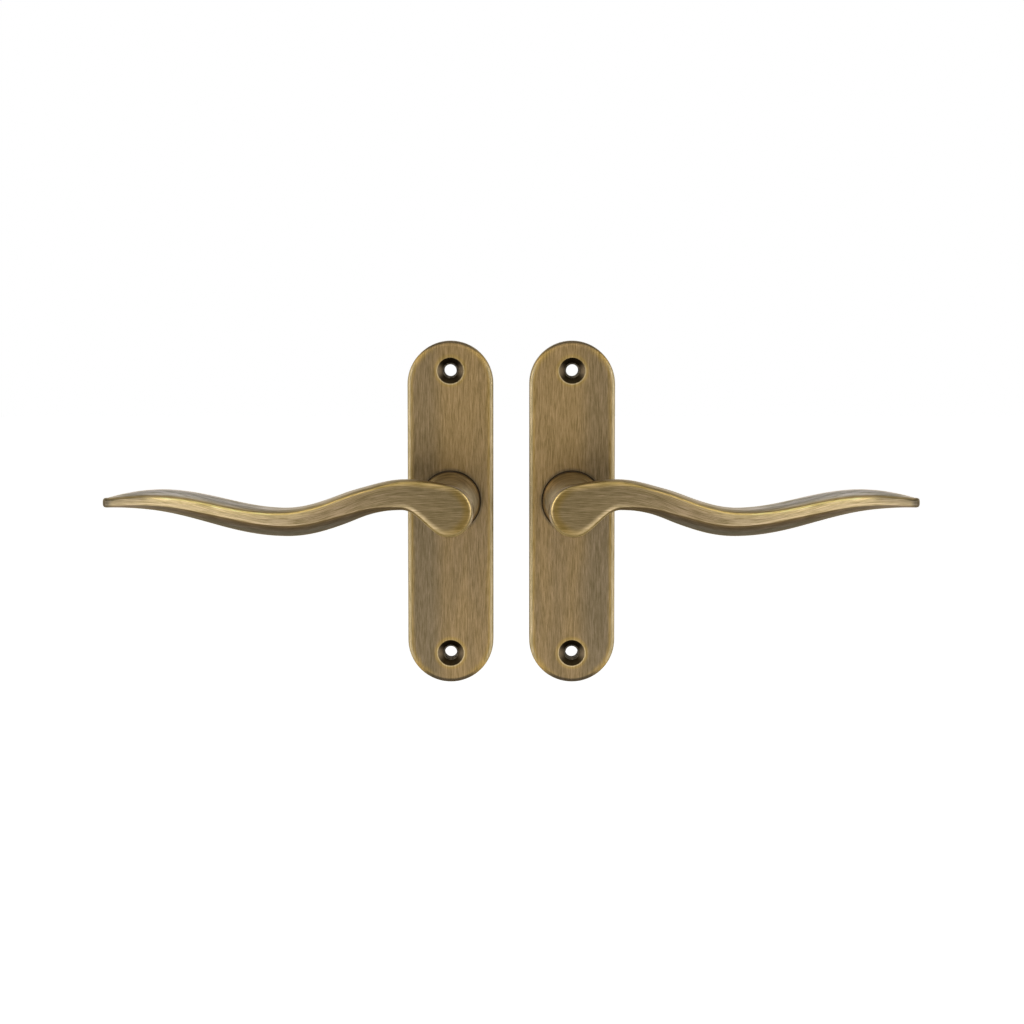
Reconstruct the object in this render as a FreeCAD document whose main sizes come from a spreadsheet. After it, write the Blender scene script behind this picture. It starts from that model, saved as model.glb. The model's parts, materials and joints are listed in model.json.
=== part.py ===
import FreeCAD, Part
import math
import os

import Sketcher
from FreeCAD import Placement, Rotation, Vector

# Door handle set: a mirror pair of lever handles on short plates.
# X runs along the levers, Y into the door, Z up. The origin lies midway between
# the two plates, at half their height, on the face of the door.

doc = FreeCAD.newDocument("door_handle_set")

# Driving sizes, in millimetres, angles in degrees
driving_sizes = {
    # The pair and the lever's axis
    "pair_spacing": 49.7,
    "axis_height": 4.75,
    "lever_travel": 45.0,
    # Plate
    "plate_width": 35.0,
    "plate_height": 140.0,
    "plate_depth": 9.0,
    "plate_wall": 2.0,
    "face_wall": 2.5,
    "plate_edge_round": 1.2,
    "fixing_margin": 12.0,
    "fixing_hole": 5.0,
    "fixing_countersink": 10.8,
    "fixing_boss": 13.0,
    "housing_bore": 28.8,
    "housing_wall": 1.6,
    "stop_gap": 0.25,
    "stop_width": 3.0,
    "stop_clearance": 0.4,
    # Cover over the spring housing, and its screws
    "cover_thickness": 1.2,
    "cover_clearance": 0.2,
    "cover_bore": 19.6,
    "cover_screw_spacing": 40.0,
    "cover_screw_margin": 5.0,
    "cover_boss": 6.5,
    "cover_screw": 2.5,
    "cover_screw_head": 4.4,
    "cover_screw_length": 5.0,
    "cover_screw_tip_room": 0.6,
    "cross_width": 0.6,
    "cross_span": 2.6,
    "cross_depth": 0.7,
    # Bush in the plate
    "bush_flange": 25.0,
    "bush_flange_thickness": 0.6,
    "bush_outer": 18.0,
    "bush_bore": 15.0,
    # Journal and drive end of the lever
    "journal_clearance": 0.05,
    "axial_play": 0.2,
    "journal_recess": 0.2,
    "journal_flats": 12.6,
    "groove_depth": 0.6,
    # Cam plate, thrust washer and circlip
    "cam_diameter": 23.0,
    "cam_thickness": 1.5,
    "cam_fit": 0.05,
    "lug_reach": 14.0,
    "lug_width": 4.0,
    "finger_width": 2.2,
    "finger_thickness": 1.4,
    "finger_reach": 12.8,
    "finger_length": 2.5,
    "washer_diameter": 21.0,
    "washer_thickness": 0.5,
    "circlip_thickness": 0.8,
    "circlip_width": 2.0,
    "circlip_opening": 5.0,
    "circlip_ear": 2.6,
    "circlip_eye": 1.2,
    "circlip_eye_side": 3.4,
    "circlip_eye_drop": 7.3,
    # Return spring
    "spring_room": 2.9,
    "spring_wire": 1.0,
    "spring_clearance": 0.4,
    "spring_turn_gap": 0.25,
    "spring_whole_turns": 1.0,
    "spring_bend": 1.2,
    "spring_touch": 0.05,
    "fixed_leg_side": 7.1,
    "fixed_leg_reach": 12.0,
    "moving_leg_reach": 13.2,
    "spring_post": 2.0,
    "spring_post_rise": 11.6,
    # Spindle, its socket and the grub screw
    "spindle_size": 8.0,
    "spindle_length": 100.0,
    "spindle_engagement": 28.0,
    "spindle_bevel": 0.4,
    "socket_clearance": 0.05,
    "socket_depth": 30.0,
    "grub_diameter": 5.0,
    "grub_length": 5.0,
    "grub_distance": 21.0,
    "grub_point": 1.0,
    "grub_hex": 2.5,
    "grub_hex_depth": 2.5,
    # Neck and head of the lever
    "neck_rim": 24.2,
    "neck_rim_height": 0.75,
    "neck_diameter": 19.2,
    "trumpet_length": 18.5,
    "head_reach": 50.0,
    "head_diameter": 20.6,
    "head_depth": 9.0,
    "head_edge_round": 1.3,
    # Grip: a wave with two crests and a trough, from the head to the tip
    "lever_reach": 136.5,
    "first_crest_at": 17.0,
    "first_crest": 6.6,
    "trough_at": 63.5,
    "trough": -4.45,
    "second_crest_at": 118.5,
    "second_crest": 4.25,
    "tip_drop": 1.5,
    "head_leave": 2.0,
    "head_end_at": 16.0,
    "lower_blend_at": 18.0,
    "root_at": 30.0,
    "bulge_at": 41.0,
    "waist_at": 66.0,
    "taper_at": 84.0,
    "head_half_height": 6.1,
    "root_half_height": 5.8,
    "bulge_half_height": 6.25,
    "waist_half_height": 5.75,
    "grip_half_height": 5.85,
    "tip_half_height": 2.0,
    "head_flank": 0.6,
    "root_upper_flank": 1.55,
    "upper_flank_from": 52.0,
    "upper_flank": 3.3,
    "upper_flank_at": 94.0,
    "tip_upper_flank": 0.8,
    "lower_flank_from": 12.0,
    "root_lower_flank": 1.0,
    "lower_flank": 4.8,
    "lower_flank_at": 50.0,
    "tip_lower_flank": 0.45,
    "root_thickness": 12.0,
    "grip_thickness": 10.5,
    "tip_thickness": 6.0,
    "tip_setback": 5.0,
    "flank_depth": 4.8,
    "tip_flank_depth": 2.4,
    "face_crown": 0.1,
}

dims = doc.addObject("Spreadsheet::Sheet", "dims")
for row, (alias, value) in enumerate(driving_sizes.items(), 1):
    dims.set(f"A{row}", alias)
    dims.set(f"B{row}", str(value))
    dims.setAlias(f"B{row}", alias)
doc.recompute()

# Places worked out from the driving sizes. A place called front or back is a
# distance in front of the door's face, which is a negative Y.
derived_places = {
    "axis_side": "dims.pair_spacing / 2",
    "zero": "0",
    # Plate
    "plate_radius": "dims.plate_width / 2",
    "end_centre": "(dims.plate_height - dims.plate_width) / 2",
    "hollow_radius": "dims.plate_width / 2 - dims.plate_wall",
    "hollow_depth": "dims.plate_depth - dims.face_wall",
    "fixing_rise": "dims.plate_height / 2 - dims.fixing_margin",
    "fixing_radius": "dims.fixing_hole / 2",
    "countersink_depth": "(dims.fixing_countersink - dims.fixing_hole) / 2",
    "fixing_boss_radius": "dims.fixing_boss / 2",
    "housing_radius": "dims.housing_bore / 2",
    "housing_outer_radius": "housing_radius + dims.housing_wall",
    "housing_height": "hollow_depth - dims.cover_thickness",
    # Cover
    "cover_radius": "hollow_radius - dims.cover_clearance",
    "cover_half": "dims.cover_screw_spacing / 2 + dims.cover_screw_margin",
    "cover_end_centre": "cover_half - cover_radius",
    "cover_bore_radius": "dims.cover_bore / 2",
    "cover_screw_rise": "dims.cover_screw_spacing / 2",
    "cover_screw_top": "dims.axis_height + cover_screw_rise",
    "cover_screw_bottom": "dims.axis_height - cover_screw_rise",
    "cover_boss_radius": "dims.cover_boss / 2",
    "cover_screw_radius": "dims.cover_screw / 2",
    "cover_screw_head_radius": "dims.cover_screw_head / 2",
    "cover_screw_head_depth": "cover_screw_head_radius - cover_screw_radius",
    "cover_screw_hole_depth": "dims.cover_screw_length + dims.cover_screw_tip_room",
    # Stack along the lever's axis, from the door outwards
    "bush_back": "hollow_depth - dims.spring_room",
    "bush_front": "dims.plate_depth + dims.bush_flange_thickness",
    "bush_flange_radius": "dims.bush_flange / 2",
    "bush_radius": "dims.bush_outer / 2",
    "bush_bore_radius": "dims.bush_bore / 2",
    "cam_front": "bush_back - dims.axial_play",
    "cam_back": "cam_front - dims.cam_thickness",
    "washer_back": "cam_back - dims.washer_thickness",
    "circlip_back": "washer_back - dims.circlip_thickness",
    "journal_radius": "bush_bore_radius - dims.journal_clearance",
    "journal_hole_radius": "journal_radius + dims.cam_fit",
    "groove_radius": "journal_radius - dims.groove_depth",
    "flat_half": "dims.journal_flats / 2",
    "socket_half": "dims.spindle_size / 2 + dims.socket_clearance",
    # Neck and head
    "neck_back": "bush_front + dims.axial_play",
    "rim_front": "neck_back + dims.neck_rim_height",
    "rim_radius": "dims.neck_rim / 2",
    "neck_radius": "dims.neck_diameter / 2",
    "trumpet_front": "rim_front + dims.trumpet_length",
    "head_front": "dims.plate_depth + dims.head_reach",
    "head_back": "head_front - dims.head_depth",
    "head_side_front": "head_front - dims.head_edge_round",
    "head_radius": "dims.head_diameter / 2",
    "head_face_radius": "head_radius - dims.head_edge_round",
    "rim_overhang": "rim_radius - neck_radius",
    "trumpet_radius": "(rim_overhang ^ 2 + dims.trumpet_length ^ 2) / (2 * rim_overhang)",
    "grub_radius": "dims.grub_diameter / 2",
    "grub_tip_radius": "grub_radius - dims.grub_point",
    "grub_hex_half": "dims.grub_hex / 2",
    "grub_hex_corner": "dims.grub_hex / sqrt(3)",
    "grub_hex_edge": "grub_hex_corner / 2",
    "grub_hex_bottom": "dims.grub_length - dims.grub_hex_depth",
    "spindle_half": "dims.spindle_size / 2",
    "spindle_back": "dims.spindle_length - dims.spindle_engagement",
    # Cam plate and its stops
    "cam_radius": "dims.cam_diameter / 2",
    "stop_inner": "cam_radius + dims.stop_clearance",
    "stop_outer": "housing_radius + dims.stop_clearance",
    "stop_near": "dims.lug_width / 2 + dims.stop_gap",
    "stop_far": "stop_near + dims.stop_width",
    # Spring
    "spring_post_radius": "dims.spring_post / 2",
    "spring_leg_offset": "dims.spring_wire / 2 + dims.spring_touch",
    "spring_post_side": "dims.fixed_leg_side - spring_leg_offset - spring_post_radius",
    "spring_post_up": "dims.axis_height + dims.spring_post_rise",
}

places = doc.addObject("App::VarSet", "places")
for name, expression in derived_places.items():
    places.addProperty("App::PropertyFloat", name)
    places.setExpression(name, expression)
doc.recompute()


def number(path):
    """The value of a path such as -places.neck_radius."""
    sign = -1 if path.startswith("-") else 1
    owner, name = path.lstrip("-").split(".")
    return sign * getattr({"dims": dims, "places": places}[owner], name)


def size(name):
    """The value of a driving size."""
    return getattr(dims, name)


def bind(thing, expressions):
    """Ties properties of an object to expressions."""
    for name, expression in expressions.items():
        thing.setExpression(name, expression)
    return thing


def on_axis(thing):
    """Moves a piece that is drawn round the lever's axis to the right handle's axis."""
    return bind(thing, {"Placement.Base.x": "places.axis_side", "Placement.Base.z": "dims.axis_height"})


def sketch(body, name, role, expressions=None):
    """A sketch on one of the body's own origin planes."""
    drawing = body.newObject("Sketcher::SketchObject", name)
    plane = [item for item in body.Origin.OriginFeatures if item.Role == role][0]
    drawing.AttachmentSupport = [(plane, "")]
    drawing.MapMode = "FlatFace"
    return bind(drawing, expressions or {})


def fix(drawing, kind, target, path):
    """Adds a dimension to a sketch and ties it to a named value."""
    index = drawing.addConstraint(Sketcher.Constraint(kind, *target, number(path)))
    drawing.setExpression(f"Constraints[{index}]", path)


def fix_point(drawing, line, end, corner):
    """Fixes one end of a line, or the centre of a circle, by its two coordinates."""
    fix(drawing, "DistanceX", (-1, 1, line, end), corner[0])
    fix(drawing, "DistanceY", (-1, 1, line, end), corner[1])


def circle(drawing, radius, corner):
    """A circle with its centre at a corner."""
    centre = Vector(number(corner[0]), number(corner[1]), 0)
    ring = drawing.addGeometry(Part.Circle(centre, Vector(0, 0, 1), number(radius)), False)
    fix_point(drawing, ring, 3, corner)
    fix(drawing, "Radius", (ring,), radius)


def outline(drawing, corners, arcs=None):
    """A closed outline through corners, with lines, or arcs of a given radius.

    arcs gives, for the stretch after a corner, its radius and the side it bulges to:
    1 is to the right of the way round.
    """
    points = [Vector(number(x), number(y), 0) for x, y in corners]
    stretches = []
    for index, start in enumerate(points):
        end = points[(index + 1) % len(points)]
        if index in (arcs or {}):
            radius, side = arcs[index]
            chord = end - start
            rise = number(radius) - math.sqrt(number(radius) ** 2 - (chord.Length / 2) ** 2)
            normal = Vector(chord.y, -chord.x, 0).normalize()
            curve = Part.Arc(start, start + chord / 2 + normal * rise * side, end)
            stretch = drawing.addGeometry(curve, False)
            first = drawing.getPoint(stretch, 1)
            turned_over = first.distanceToPoint(start) > first.distanceToPoint(end)
            stretches.append((stretch, 2, 1) if turned_over else (stretch, 1, 2))
        else:
            stretches.append((drawing.addGeometry(Part.LineSegment(start, end), False), 1, 2))
    for index, (stretch, start, end) in enumerate(stretches):
        following = stretches[(index + 1) % len(stretches)]
        drawing.addConstraint(Sketcher.Constraint("Coincident", stretch, end, following[0], following[1]))
        fix_point(drawing, stretch, start, corners[index])
        if index in (arcs or {}):
            fix(drawing, "Radius", (stretch,), arcs[index][0])


def round_ended(drawing, radius, end_centre):
    """An upright outline with two straight sides and full round ends."""
    bend = number(radius)
    rise = number(end_centre)
    upper = Part.ArcOfCircle(Part.Circle(Vector(0, rise, 0), Vector(0, 0, 1), bend), 0, math.pi)
    lower = Part.ArcOfCircle(Part.Circle(Vector(0, -rise, 0), Vector(0, 0, 1), bend), math.pi, 2 * math.pi)
    top = drawing.addGeometry(upper, False)
    bottom = drawing.addGeometry(lower, False)
    right = drawing.addGeometry(Part.LineSegment(Vector(bend, -rise, 0), Vector(bend, rise, 0)), False)
    left = drawing.addGeometry(Part.LineSegment(Vector(-bend, rise, 0), Vector(-bend, -rise, 0)), False)
    for first, first_end, second, second_end in (
        (top, 1, right, 2),
        (top, 2, left, 1),
        (bottom, 1, left, 2),
        (bottom, 2, right, 1),
    ):
        drawing.addConstraint(Sketcher.Constraint("Tangent", first, first_end, second, second_end))
    drawing.addConstraint(Sketcher.Constraint("Equal", top, bottom))
    fix(drawing, "Radius", (top,), radius)
    fix_point(drawing, top, 3, ("places.zero", end_centre))
    fix_point(drawing, bottom, 3, ("places.zero", "-" + end_centre))


def pad(body, name, drawing, length):
    """Adds material forwards, away from the door."""
    feature = body.newObject("PartDesign::Pad", name)
    feature.Profile = drawing
    bind(feature, {"Length": length})
    doc.recompute()
    return feature


def pocket(body, name, drawing, length, forwards=True):
    """Cuts a pocket, which has to take material away."""
    before = body.Shape.Volume
    feature = body.newObject("PartDesign::Pocket", name)
    feature.Profile = drawing
    feature.Reversed = forwards
    bind(feature, {"Length": length})
    doc.recompute()
    if body.Shape.Volume > before - 1e-6:
        raise ValueError(f"{name} cuts nothing")
    return feature


def edges_in_front(shape, distance, length=None):
    """Names of the edges that lie in a plane in front of the door, of one length if given."""
    names = []
    for index, edge in enumerate(shape.Edges, 1):
        box = edge.BoundBox
        flat = abs(box.YMin + distance) < 1e-4 and abs(box.YMax + distance) < 1e-4
        if flat and (length is None or abs(edge.Length - length) < 1e-3):
            names.append(f"Edge{index}")
    return names


def edge_feature(body, kind, name, base, edges, size_name, expression):
    """A fillet or a chamfer on named edges."""
    feature = body.newObject(kind, name)
    feature.Base = (base, edges)
    bind(feature, {size_name: expression})
    doc.recompute()
    return feature


def turned(name, corners, arcs=None):
    """A body turned about the lever's axis from an outline of (radius, distance) corners."""
    body = doc.addObject("PartDesign::Body", name)
    drawing = sketch(body, name + "_section", "XY_Plane")
    outline(drawing, corners, arcs)
    spin = body.newObject("PartDesign::Revolution", name + "_turning")
    spin.Profile = drawing
    spin.ReferenceAxis = (drawing, ["V_Axis"])
    spin.Angle = 360.0
    doc.recompute()
    return body


def rod(name, radius, front, back, across="0", up="0"):
    """A cylinder along Y, near the right handle's axis, from front to back."""
    thing = doc.addObject("Part::Cylinder", name)
    thing.Placement = Placement(Vector(), Rotation(Vector(1, 0, 0), -90))
    return bind(thing, {
        "Radius": radius,
        "Height": f"{front} - ({back})",
        "Placement.Base.x": f"places.axis_side + ({across})",
        "Placement.Base.y": f"-({front})",
        "Placement.Base.z": f"dims.axis_height + ({up})",
    })


def block(name, left, right, bottom, top, front, back):
    """A box near the right handle's axis, by its six sides."""
    thing = doc.addObject("Part::Box", name)
    return bind(thing, {
        "Length": f"{right} - ({left})",
        "Width": f"{front} - ({back})",
        "Height": f"{top} - ({bottom})",
        "Placement.Base.x": f"places.axis_side + ({left})",
        "Placement.Base.y": f"-({front})",
        "Placement.Base.z": f"dims.axis_height + ({bottom})",
    })


def fuse(name, things):
    joined = doc.addObject("Part::MultiFuse", name)
    joined.Shapes = things
    return joined


def common(name, things):
    shared = doc.addObject("Part::MultiCommon", name)
    shared.Shapes = things
    return shared


def cut(name, base, tool):
    left_over = doc.addObject("Part::Cut", name)
    left_over.Base = base
    left_over.Tool = tool
    return left_over


def make_plate():
    """Hollow casting with its bosses, spring housing, stops and spring post."""
    body = doc.addObject("PartDesign::Body", "right_plate")
    drawing = sketch(body, "plate_outline", "XZ_Plane")
    round_ended(drawing, "places.plate_radius", "places.end_centre")
    blank = pad(body, "plate_blank", drawing, "dims.plate_depth")
    rim = edges_in_front(blank.Shape, size("plate_depth"))
    edge_feature(body, "PartDesign::Fillet", "plate_rim", blank, rim, "Radius", "dims.plate_edge_round")

    drawing = sketch(body, "hollow_outline", "XZ_Plane")
    round_ended(drawing, "places.hollow_radius", "places.end_centre")
    pocket(body, "hollow", drawing, "places.hollow_depth")

    raised = {"AttachmentOffset.Base.z": "dims.cover_thickness"}
    drawing = sketch(body, "housing_outline", "XZ_Plane", raised)
    circle(drawing, "places.housing_outer_radius", ("places.zero", "dims.axis_height"))
    circle(drawing, "places.housing_radius", ("places.zero", "dims.axis_height"))
    pad(body, "housing", drawing, "places.housing_height")

    drawing = sketch(body, "cover_bosses_outline", "XZ_Plane", raised)
    for height in ("places.cover_screw_top", "places.cover_screw_bottom"):
        circle(drawing, "places.cover_boss_radius", ("places.zero", height))
    pad(body, "cover_bosses", drawing, "places.housing_height")

    drawing = sketch(body, "fixing_bosses_outline", "XZ_Plane")
    for height in ("places.fixing_rise", "-places.fixing_rise"):
        circle(drawing, "places.fixing_boss_radius", ("places.zero", height))
    pad(body, "fixing_bosses", drawing, "places.hollow_depth")

    # The cam plate's lug stands upright at rest and turns clockwise, seen from the front
    for name, near, far, turn in (
        ("rest_stop", "-places.stop_near", "-places.stop_far", "0"),
        ("end_stop", "places.stop_near", "places.stop_far", "-dims.lever_travel"),
    ):
        drawing = sketch(body, name + "_outline", "XZ_Plane")
        drawing.AttachmentOffset = Placement(Vector(), Rotation(Vector(0, 0, 1), 1))
        bind(drawing, {
            "AttachmentOffset.Base.y": "dims.axis_height",
            "AttachmentOffset.Base.z": "dims.cover_thickness",
            "AttachmentOffset.Rotation.Angle": turn,
        })
        outline(drawing, [
            (near, "places.stop_inner"),
            (far, "places.stop_inner"),
            (far, "places.stop_outer"),
            (near, "places.stop_outer"),
        ])
        pad(body, name, drawing, "places.housing_height")

    behind_spring = {"AttachmentOffset.Base.z": "places.bush_back"}
    drawing = sketch(body, "spring_post_outline", "XZ_Plane", behind_spring)
    circle(drawing, "places.spring_post_radius", ("-places.spring_post_side", "places.spring_post_up"))
    pad(body, "spring_post", drawing, "dims.spring_room")

    drawing = sketch(body, "bush_hole_outline", "XZ_Plane")
    circle(drawing, "places.bush_radius", ("places.zero", "dims.axis_height"))
    pocket(body, "bush_hole", drawing, "dims.plate_depth")

    drawing = sketch(body, "cover_screw_holes_outline", "XZ_Plane")
    for height in ("places.cover_screw_top", "places.cover_screw_bottom"):
        circle(drawing, "places.cover_screw_radius", ("places.zero", height))
    pocket(body, "cover_screw_holes", drawing, "places.cover_screw_hole_depth")

    drawing = sketch(body, "fixing_holes_outline", "XZ_Plane")
    for height in ("places.fixing_rise", "-places.fixing_rise"):
        circle(drawing, "places.fixing_radius", ("places.zero", height))
    through = pocket(body, "fixing_holes", drawing, "dims.plate_depth")
    round_length = 2 * math.pi * number("places.fixing_radius")
    mouths = edges_in_front(through.Shape, size("plate_depth"), round_length)
    depth = "places.countersink_depth"
    edge_feature(body, "PartDesign::Chamfer", "countersinks", through, mouths, "Size", depth)
    return bind(body, {"Placement.Base.x": "places.axis_side"})


def make_bush():
    """Flanged bush: bearing for the journal and core of the return spring."""
    return on_axis(turned("right_neck_bush", [
        ("places.bush_bore_radius", "-places.bush_back"),
        ("places.bush_radius", "-places.bush_back"),
        ("places.bush_radius", "-dims.plate_depth"),
        ("places.bush_flange_radius", "-dims.plate_depth"),
        ("places.bush_flange_radius", "-places.bush_front"),
        ("places.bush_bore_radius", "-places.bush_front"),
    ]))


def make_turned_neck():
    """Journal with its groove, trumpet neck and the round part of the head."""
    body = turned("lever_neck", [
        ("places.zero", "-dims.journal_recess"),
        ("places.journal_radius", "-dims.journal_recess"),
        ("places.journal_radius", "-places.circlip_back"),
        ("places.groove_radius", "-places.circlip_back"),
        ("places.groove_radius", "-places.washer_back"),
        ("places.journal_radius", "-places.washer_back"),
        ("places.journal_radius", "-places.neck_back"),
        ("places.rim_radius", "-places.neck_back"),
        ("places.rim_radius", "-places.rim_front"),
        ("places.neck_radius", "-places.trumpet_front"),
        ("places.neck_radius", "-places.head_back"),
        ("places.head_radius", "-places.head_side_front"),
        ("places.head_face_radius", "-places.head_front"),
        ("places.zero", "-places.head_front"),
    ], {8: ("places.trumpet_radius", 1), 11: ("dims.head_edge_round", -1)})

    drawing = sketch(body, "flats_outline", "XZ_Plane")
    for sign in ("", "-"):
        near = sign + "places.flat_half"
        far = sign + "places.bush_radius"
        outline(drawing, [
            (near, "-places.bush_radius"),
            (far, "-places.bush_radius"),
            (far, "places.bush_radius"),
            (near, "places.bush_radius"),
        ])
    pocket(body, "flats", drawing, "places.cam_front")

    drawing = sketch(body, "socket_outline", "XZ_Plane")
    outline(drawing, [
        ("-places.socket_half", "-places.socket_half"),
        ("places.socket_half", "-places.socket_half"),
        ("places.socket_half", "places.socket_half"),
        ("-places.socket_half", "places.socket_half"),
    ])
    pocket(body, "spindle_socket", drawing, "dims.socket_depth")

    drawing = sketch(body, "grub_hole_outline", "XY_Plane")
    circle(drawing, "places.grub_radius", ("places.zero", "-dims.grub_distance"))
    pocket(body, "grub_hole", drawing, "places.rim_radius", forwards=False)
    return on_axis(body)


def smooth(share):
    """Eases from 0 to 1 with level ends."""
    return 0.5 - 0.5 * math.cos(math.pi * min(1.0, max(0.0, share)))


def law(at, marks):
    """A value along the lever that eases from mark to mark."""
    for (start, first), (end, second) in zip(marks, marks[1:]):
        if at <= end:
            return first + (second - first) * smooth((at - start) / (end - start))
    return marks[-1][1]


def grip_outlines(at):
    """Heights of the lever's top, upper edge, lower edge and bottom, at a distance from the axis."""
    reach = size("lever_reach")
    radius = number("places.head_radius")
    face_radius = number("places.head_face_radius")
    centre = law(at, [
        (size("first_crest_at"), size("first_crest")),
        (size("trough_at"), size("trough")),
        (size("second_crest_at"), size("second_crest")),
    ])
    beyond = max(0.0, (at - size("second_crest_at")) / (reach - size("second_crest_at")))
    centre -= size("tip_drop") * beyond ** 2
    half = law(at, [
        (size("head_end_at"), size("head_half_height")),
        (size("root_at"), size("root_half_height")),
        (size("bulge_at"), size("bulge_half_height")),
        (size("waist_at"), size("waist_half_height")),
        (size("taper_at"), size("grip_half_height")),
    ])
    taper = max(0.0, (at - size("taper_at")) / (reach - size("taper_at")))
    half -= (size("grip_half_height") - size("tip_half_height")) * taper ** 1.65
    upper = law(at, [
        (-face_radius, size("head_edge_round")),
        (0.0, size("head_flank")),
        (size("root_at"), size("root_upper_flank")),
        (size("upper_flank_from"), size("root_upper_flank")),
        (size("upper_flank_at"), size("upper_flank")),
    ])
    upper -= (size("upper_flank") - size("tip_upper_flank")) * taper ** 3
    lower = law(at, [
        (size("lower_flank_from"), size("root_lower_flank")),
        (size("lower_flank_at"), size("lower_flank")),
    ])
    lower -= (size("lower_flank") - size("tip_lower_flank")) * taper ** 1.2
    top = centre + half
    bottom = centre - half

    # Towards the head the top falls to the round head's circle
    if at < size("head_end_at"):
        crown = size("first_crest") + size("head_half_height")
        leave = size("head_leave")
        meeting = math.sqrt(radius ** 2 - leave ** 2)
        back = min(1.0, (size("head_end_at") - at) / (size("head_end_at") + leave))
        top = crown - (crown - meeting) * back ** 1.6
        if at < -leave:
            top = math.sqrt(radius ** 2 - at ** 2)
    upper_edge = top - upper
    lower_edge = bottom + lower

    # and the lower edge swings down to the round head's lowest point
    if at < size("lower_blend_at"):
        share = smooth(at / size("lower_blend_at"))
        lowest = -math.sqrt(face_radius ** 2 - min(0.0, at) ** 2)
        lower_edge = lowest + (lower_edge - lowest) * share
        bottom = lower_edge - size("head_edge_round") - (lower - size("head_edge_round")) * share
    return top, upper_edge, lower_edge, bottom


def grip_depths(at):
    """Distances in front of the door of the face's middle, its edges, the flanks' ridges and the back."""
    reach = size("lever_reach")
    along = max(0.0, (at - size("root_at")) / (reach - size("root_at")))
    front = number("places.head_front") - size("tip_setback") * along ** 2.2
    thickness = law(at, [
        (0.0, size("root_thickness")),
        (size("trough_at"), size("grip_thickness")),
        (reach, size("tip_thickness")),
    ])
    flank = law(at, [
        (size("lower_flank_from"), size("head_edge_round")),
        (size("lower_flank_at"), size("flank_depth")),
        (size("taper_at"), size("flank_depth")),
        (reach, size("tip_flank_depth")),
    ])
    return front, front - size("face_crown"), front - flank, front - thickness


def grip_section(at):
    """The lever's section, a closed wire: crowned face, two flanks and a round back."""
    top, upper_edge, lower_edge, bottom = grip_outlines(at)
    front, edge, ridge, rear = grip_depths(at)
    middle = (top + bottom) / 2
    fullness = math.sqrt(0.5)

    def point(height, distance):
        return Vector(at, -distance, height)

    def rear_point(side):
        return point(middle + (side - middle) * fullness, ridge + (rear - ridge) * fullness)

    face_middle = point((upper_edge + lower_edge) / 2, front)
    curves = [
        Part.Arc(point(upper_edge, edge), face_middle, point(lower_edge, edge)),
        Part.LineSegment(point(lower_edge, edge), point(bottom, ridge)),
        Part.Arc(point(bottom, ridge), rear_point(bottom), point(middle, rear)),
        Part.Arc(point(middle, rear), rear_point(top), point(top, ridge)),
        Part.LineSegment(point(top, ridge), point(upper_edge, edge)),
    ]
    return Part.Wire([curve.toShape() for curve in curves])


def make_grip():
    """Wavy grip and the swell of the head, lofted through sections along the lever."""
    reach = size("lever_reach")
    root = size("root_at")
    start = -0.7 * number("places.head_face_radius")
    head_steps = 10
    grip_steps = 15
    stations = [start + (root - start) * step / head_steps for step in range(head_steps)]
    for step in range(grip_steps + 1):
        stations.append(root + (reach - root) * math.sin(math.pi / 2 * step / grip_steps))
    grip = doc.addObject("Part::Feature", "lever_grip")
    grip.Shape = Part.makeLoft([grip_section(at) for at in stations], True, False)
    return on_axis(grip)


def make_grub_screw():
    """Grub screw with a hexagon socket, in the underside of the neck, on the spindle."""
    body = turned("right_grub_screw", [
        ("places.zero", "places.zero"),
        ("places.grub_tip_radius", "places.zero"),
        ("places.grub_radius", "-dims.grub_point"),
        ("places.grub_radius", "-dims.grub_length"),
        ("places.zero", "-dims.grub_length"),
    ])
    at_bottom = {"AttachmentOffset.Base.z": "places.grub_hex_bottom"}
    drawing = sketch(body, "grub_hex_outline", "XZ_Plane", at_bottom)
    outline(drawing, [
        ("places.zero", "places.grub_hex_corner"),
        ("-places.grub_hex_half", "places.grub_hex_edge"),
        ("-places.grub_hex_half", "-places.grub_hex_edge"),
        ("places.zero", "-places.grub_hex_corner"),
        ("places.grub_hex_half", "-places.grub_hex_edge"),
        ("places.grub_hex_half", "places.grub_hex_edge"),
    ])
    pocket(body, "grub_hex_socket", drawing, "dims.grub_hex_depth")
    body.Placement = Placement(Vector(), Rotation(Vector(1, 0, 0), 90))
    return bind(body, {
        "Placement.Base.x": "places.axis_side",
        "Placement.Base.y": "-dims.grub_distance",
        "Placement.Base.z": "dims.axis_height - places.spindle_half",
    })


def make_cam_plate():
    """Steel plate on the flats, with a lug for the stops and a finger for the spring."""
    disc = rod("cam_disc", "places.cam_radius", "places.cam_front", "places.cam_back")
    lug = block(
        "cam_lug", "-dims.lug_width / 2", "dims.lug_width / 2", "0", "dims.lug_reach",
        "places.cam_front", "places.cam_back",
    )
    tab = block(
        "cam_tab", "-dims.finger_width / 2", "dims.finger_width / 2", "-dims.finger_reach", "0",
        "places.cam_front", "places.cam_back",
    )
    finger = block(
        "cam_finger", "-dims.finger_width / 2", "dims.finger_width / 2",
        "-dims.finger_reach", "-dims.finger_reach + dims.finger_thickness",
        "places.cam_front + dims.finger_length", "places.cam_back",
    )
    hole = common("cam_hole", [
        rod("cam_hole_round", "places.journal_hole_radius", "places.cam_front", "places.cam_back"),
        block(
            "cam_hole_flats", "-places.flat_half - dims.cam_fit", "places.flat_half + dims.cam_fit",
            "-places.bush_radius", "places.bush_radius", "places.cam_front", "places.cam_back",
        ),
    ])
    return cut("right_cam_plate", fuse("cam_blank", [disc, lug, tab, finger]), hole)


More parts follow.
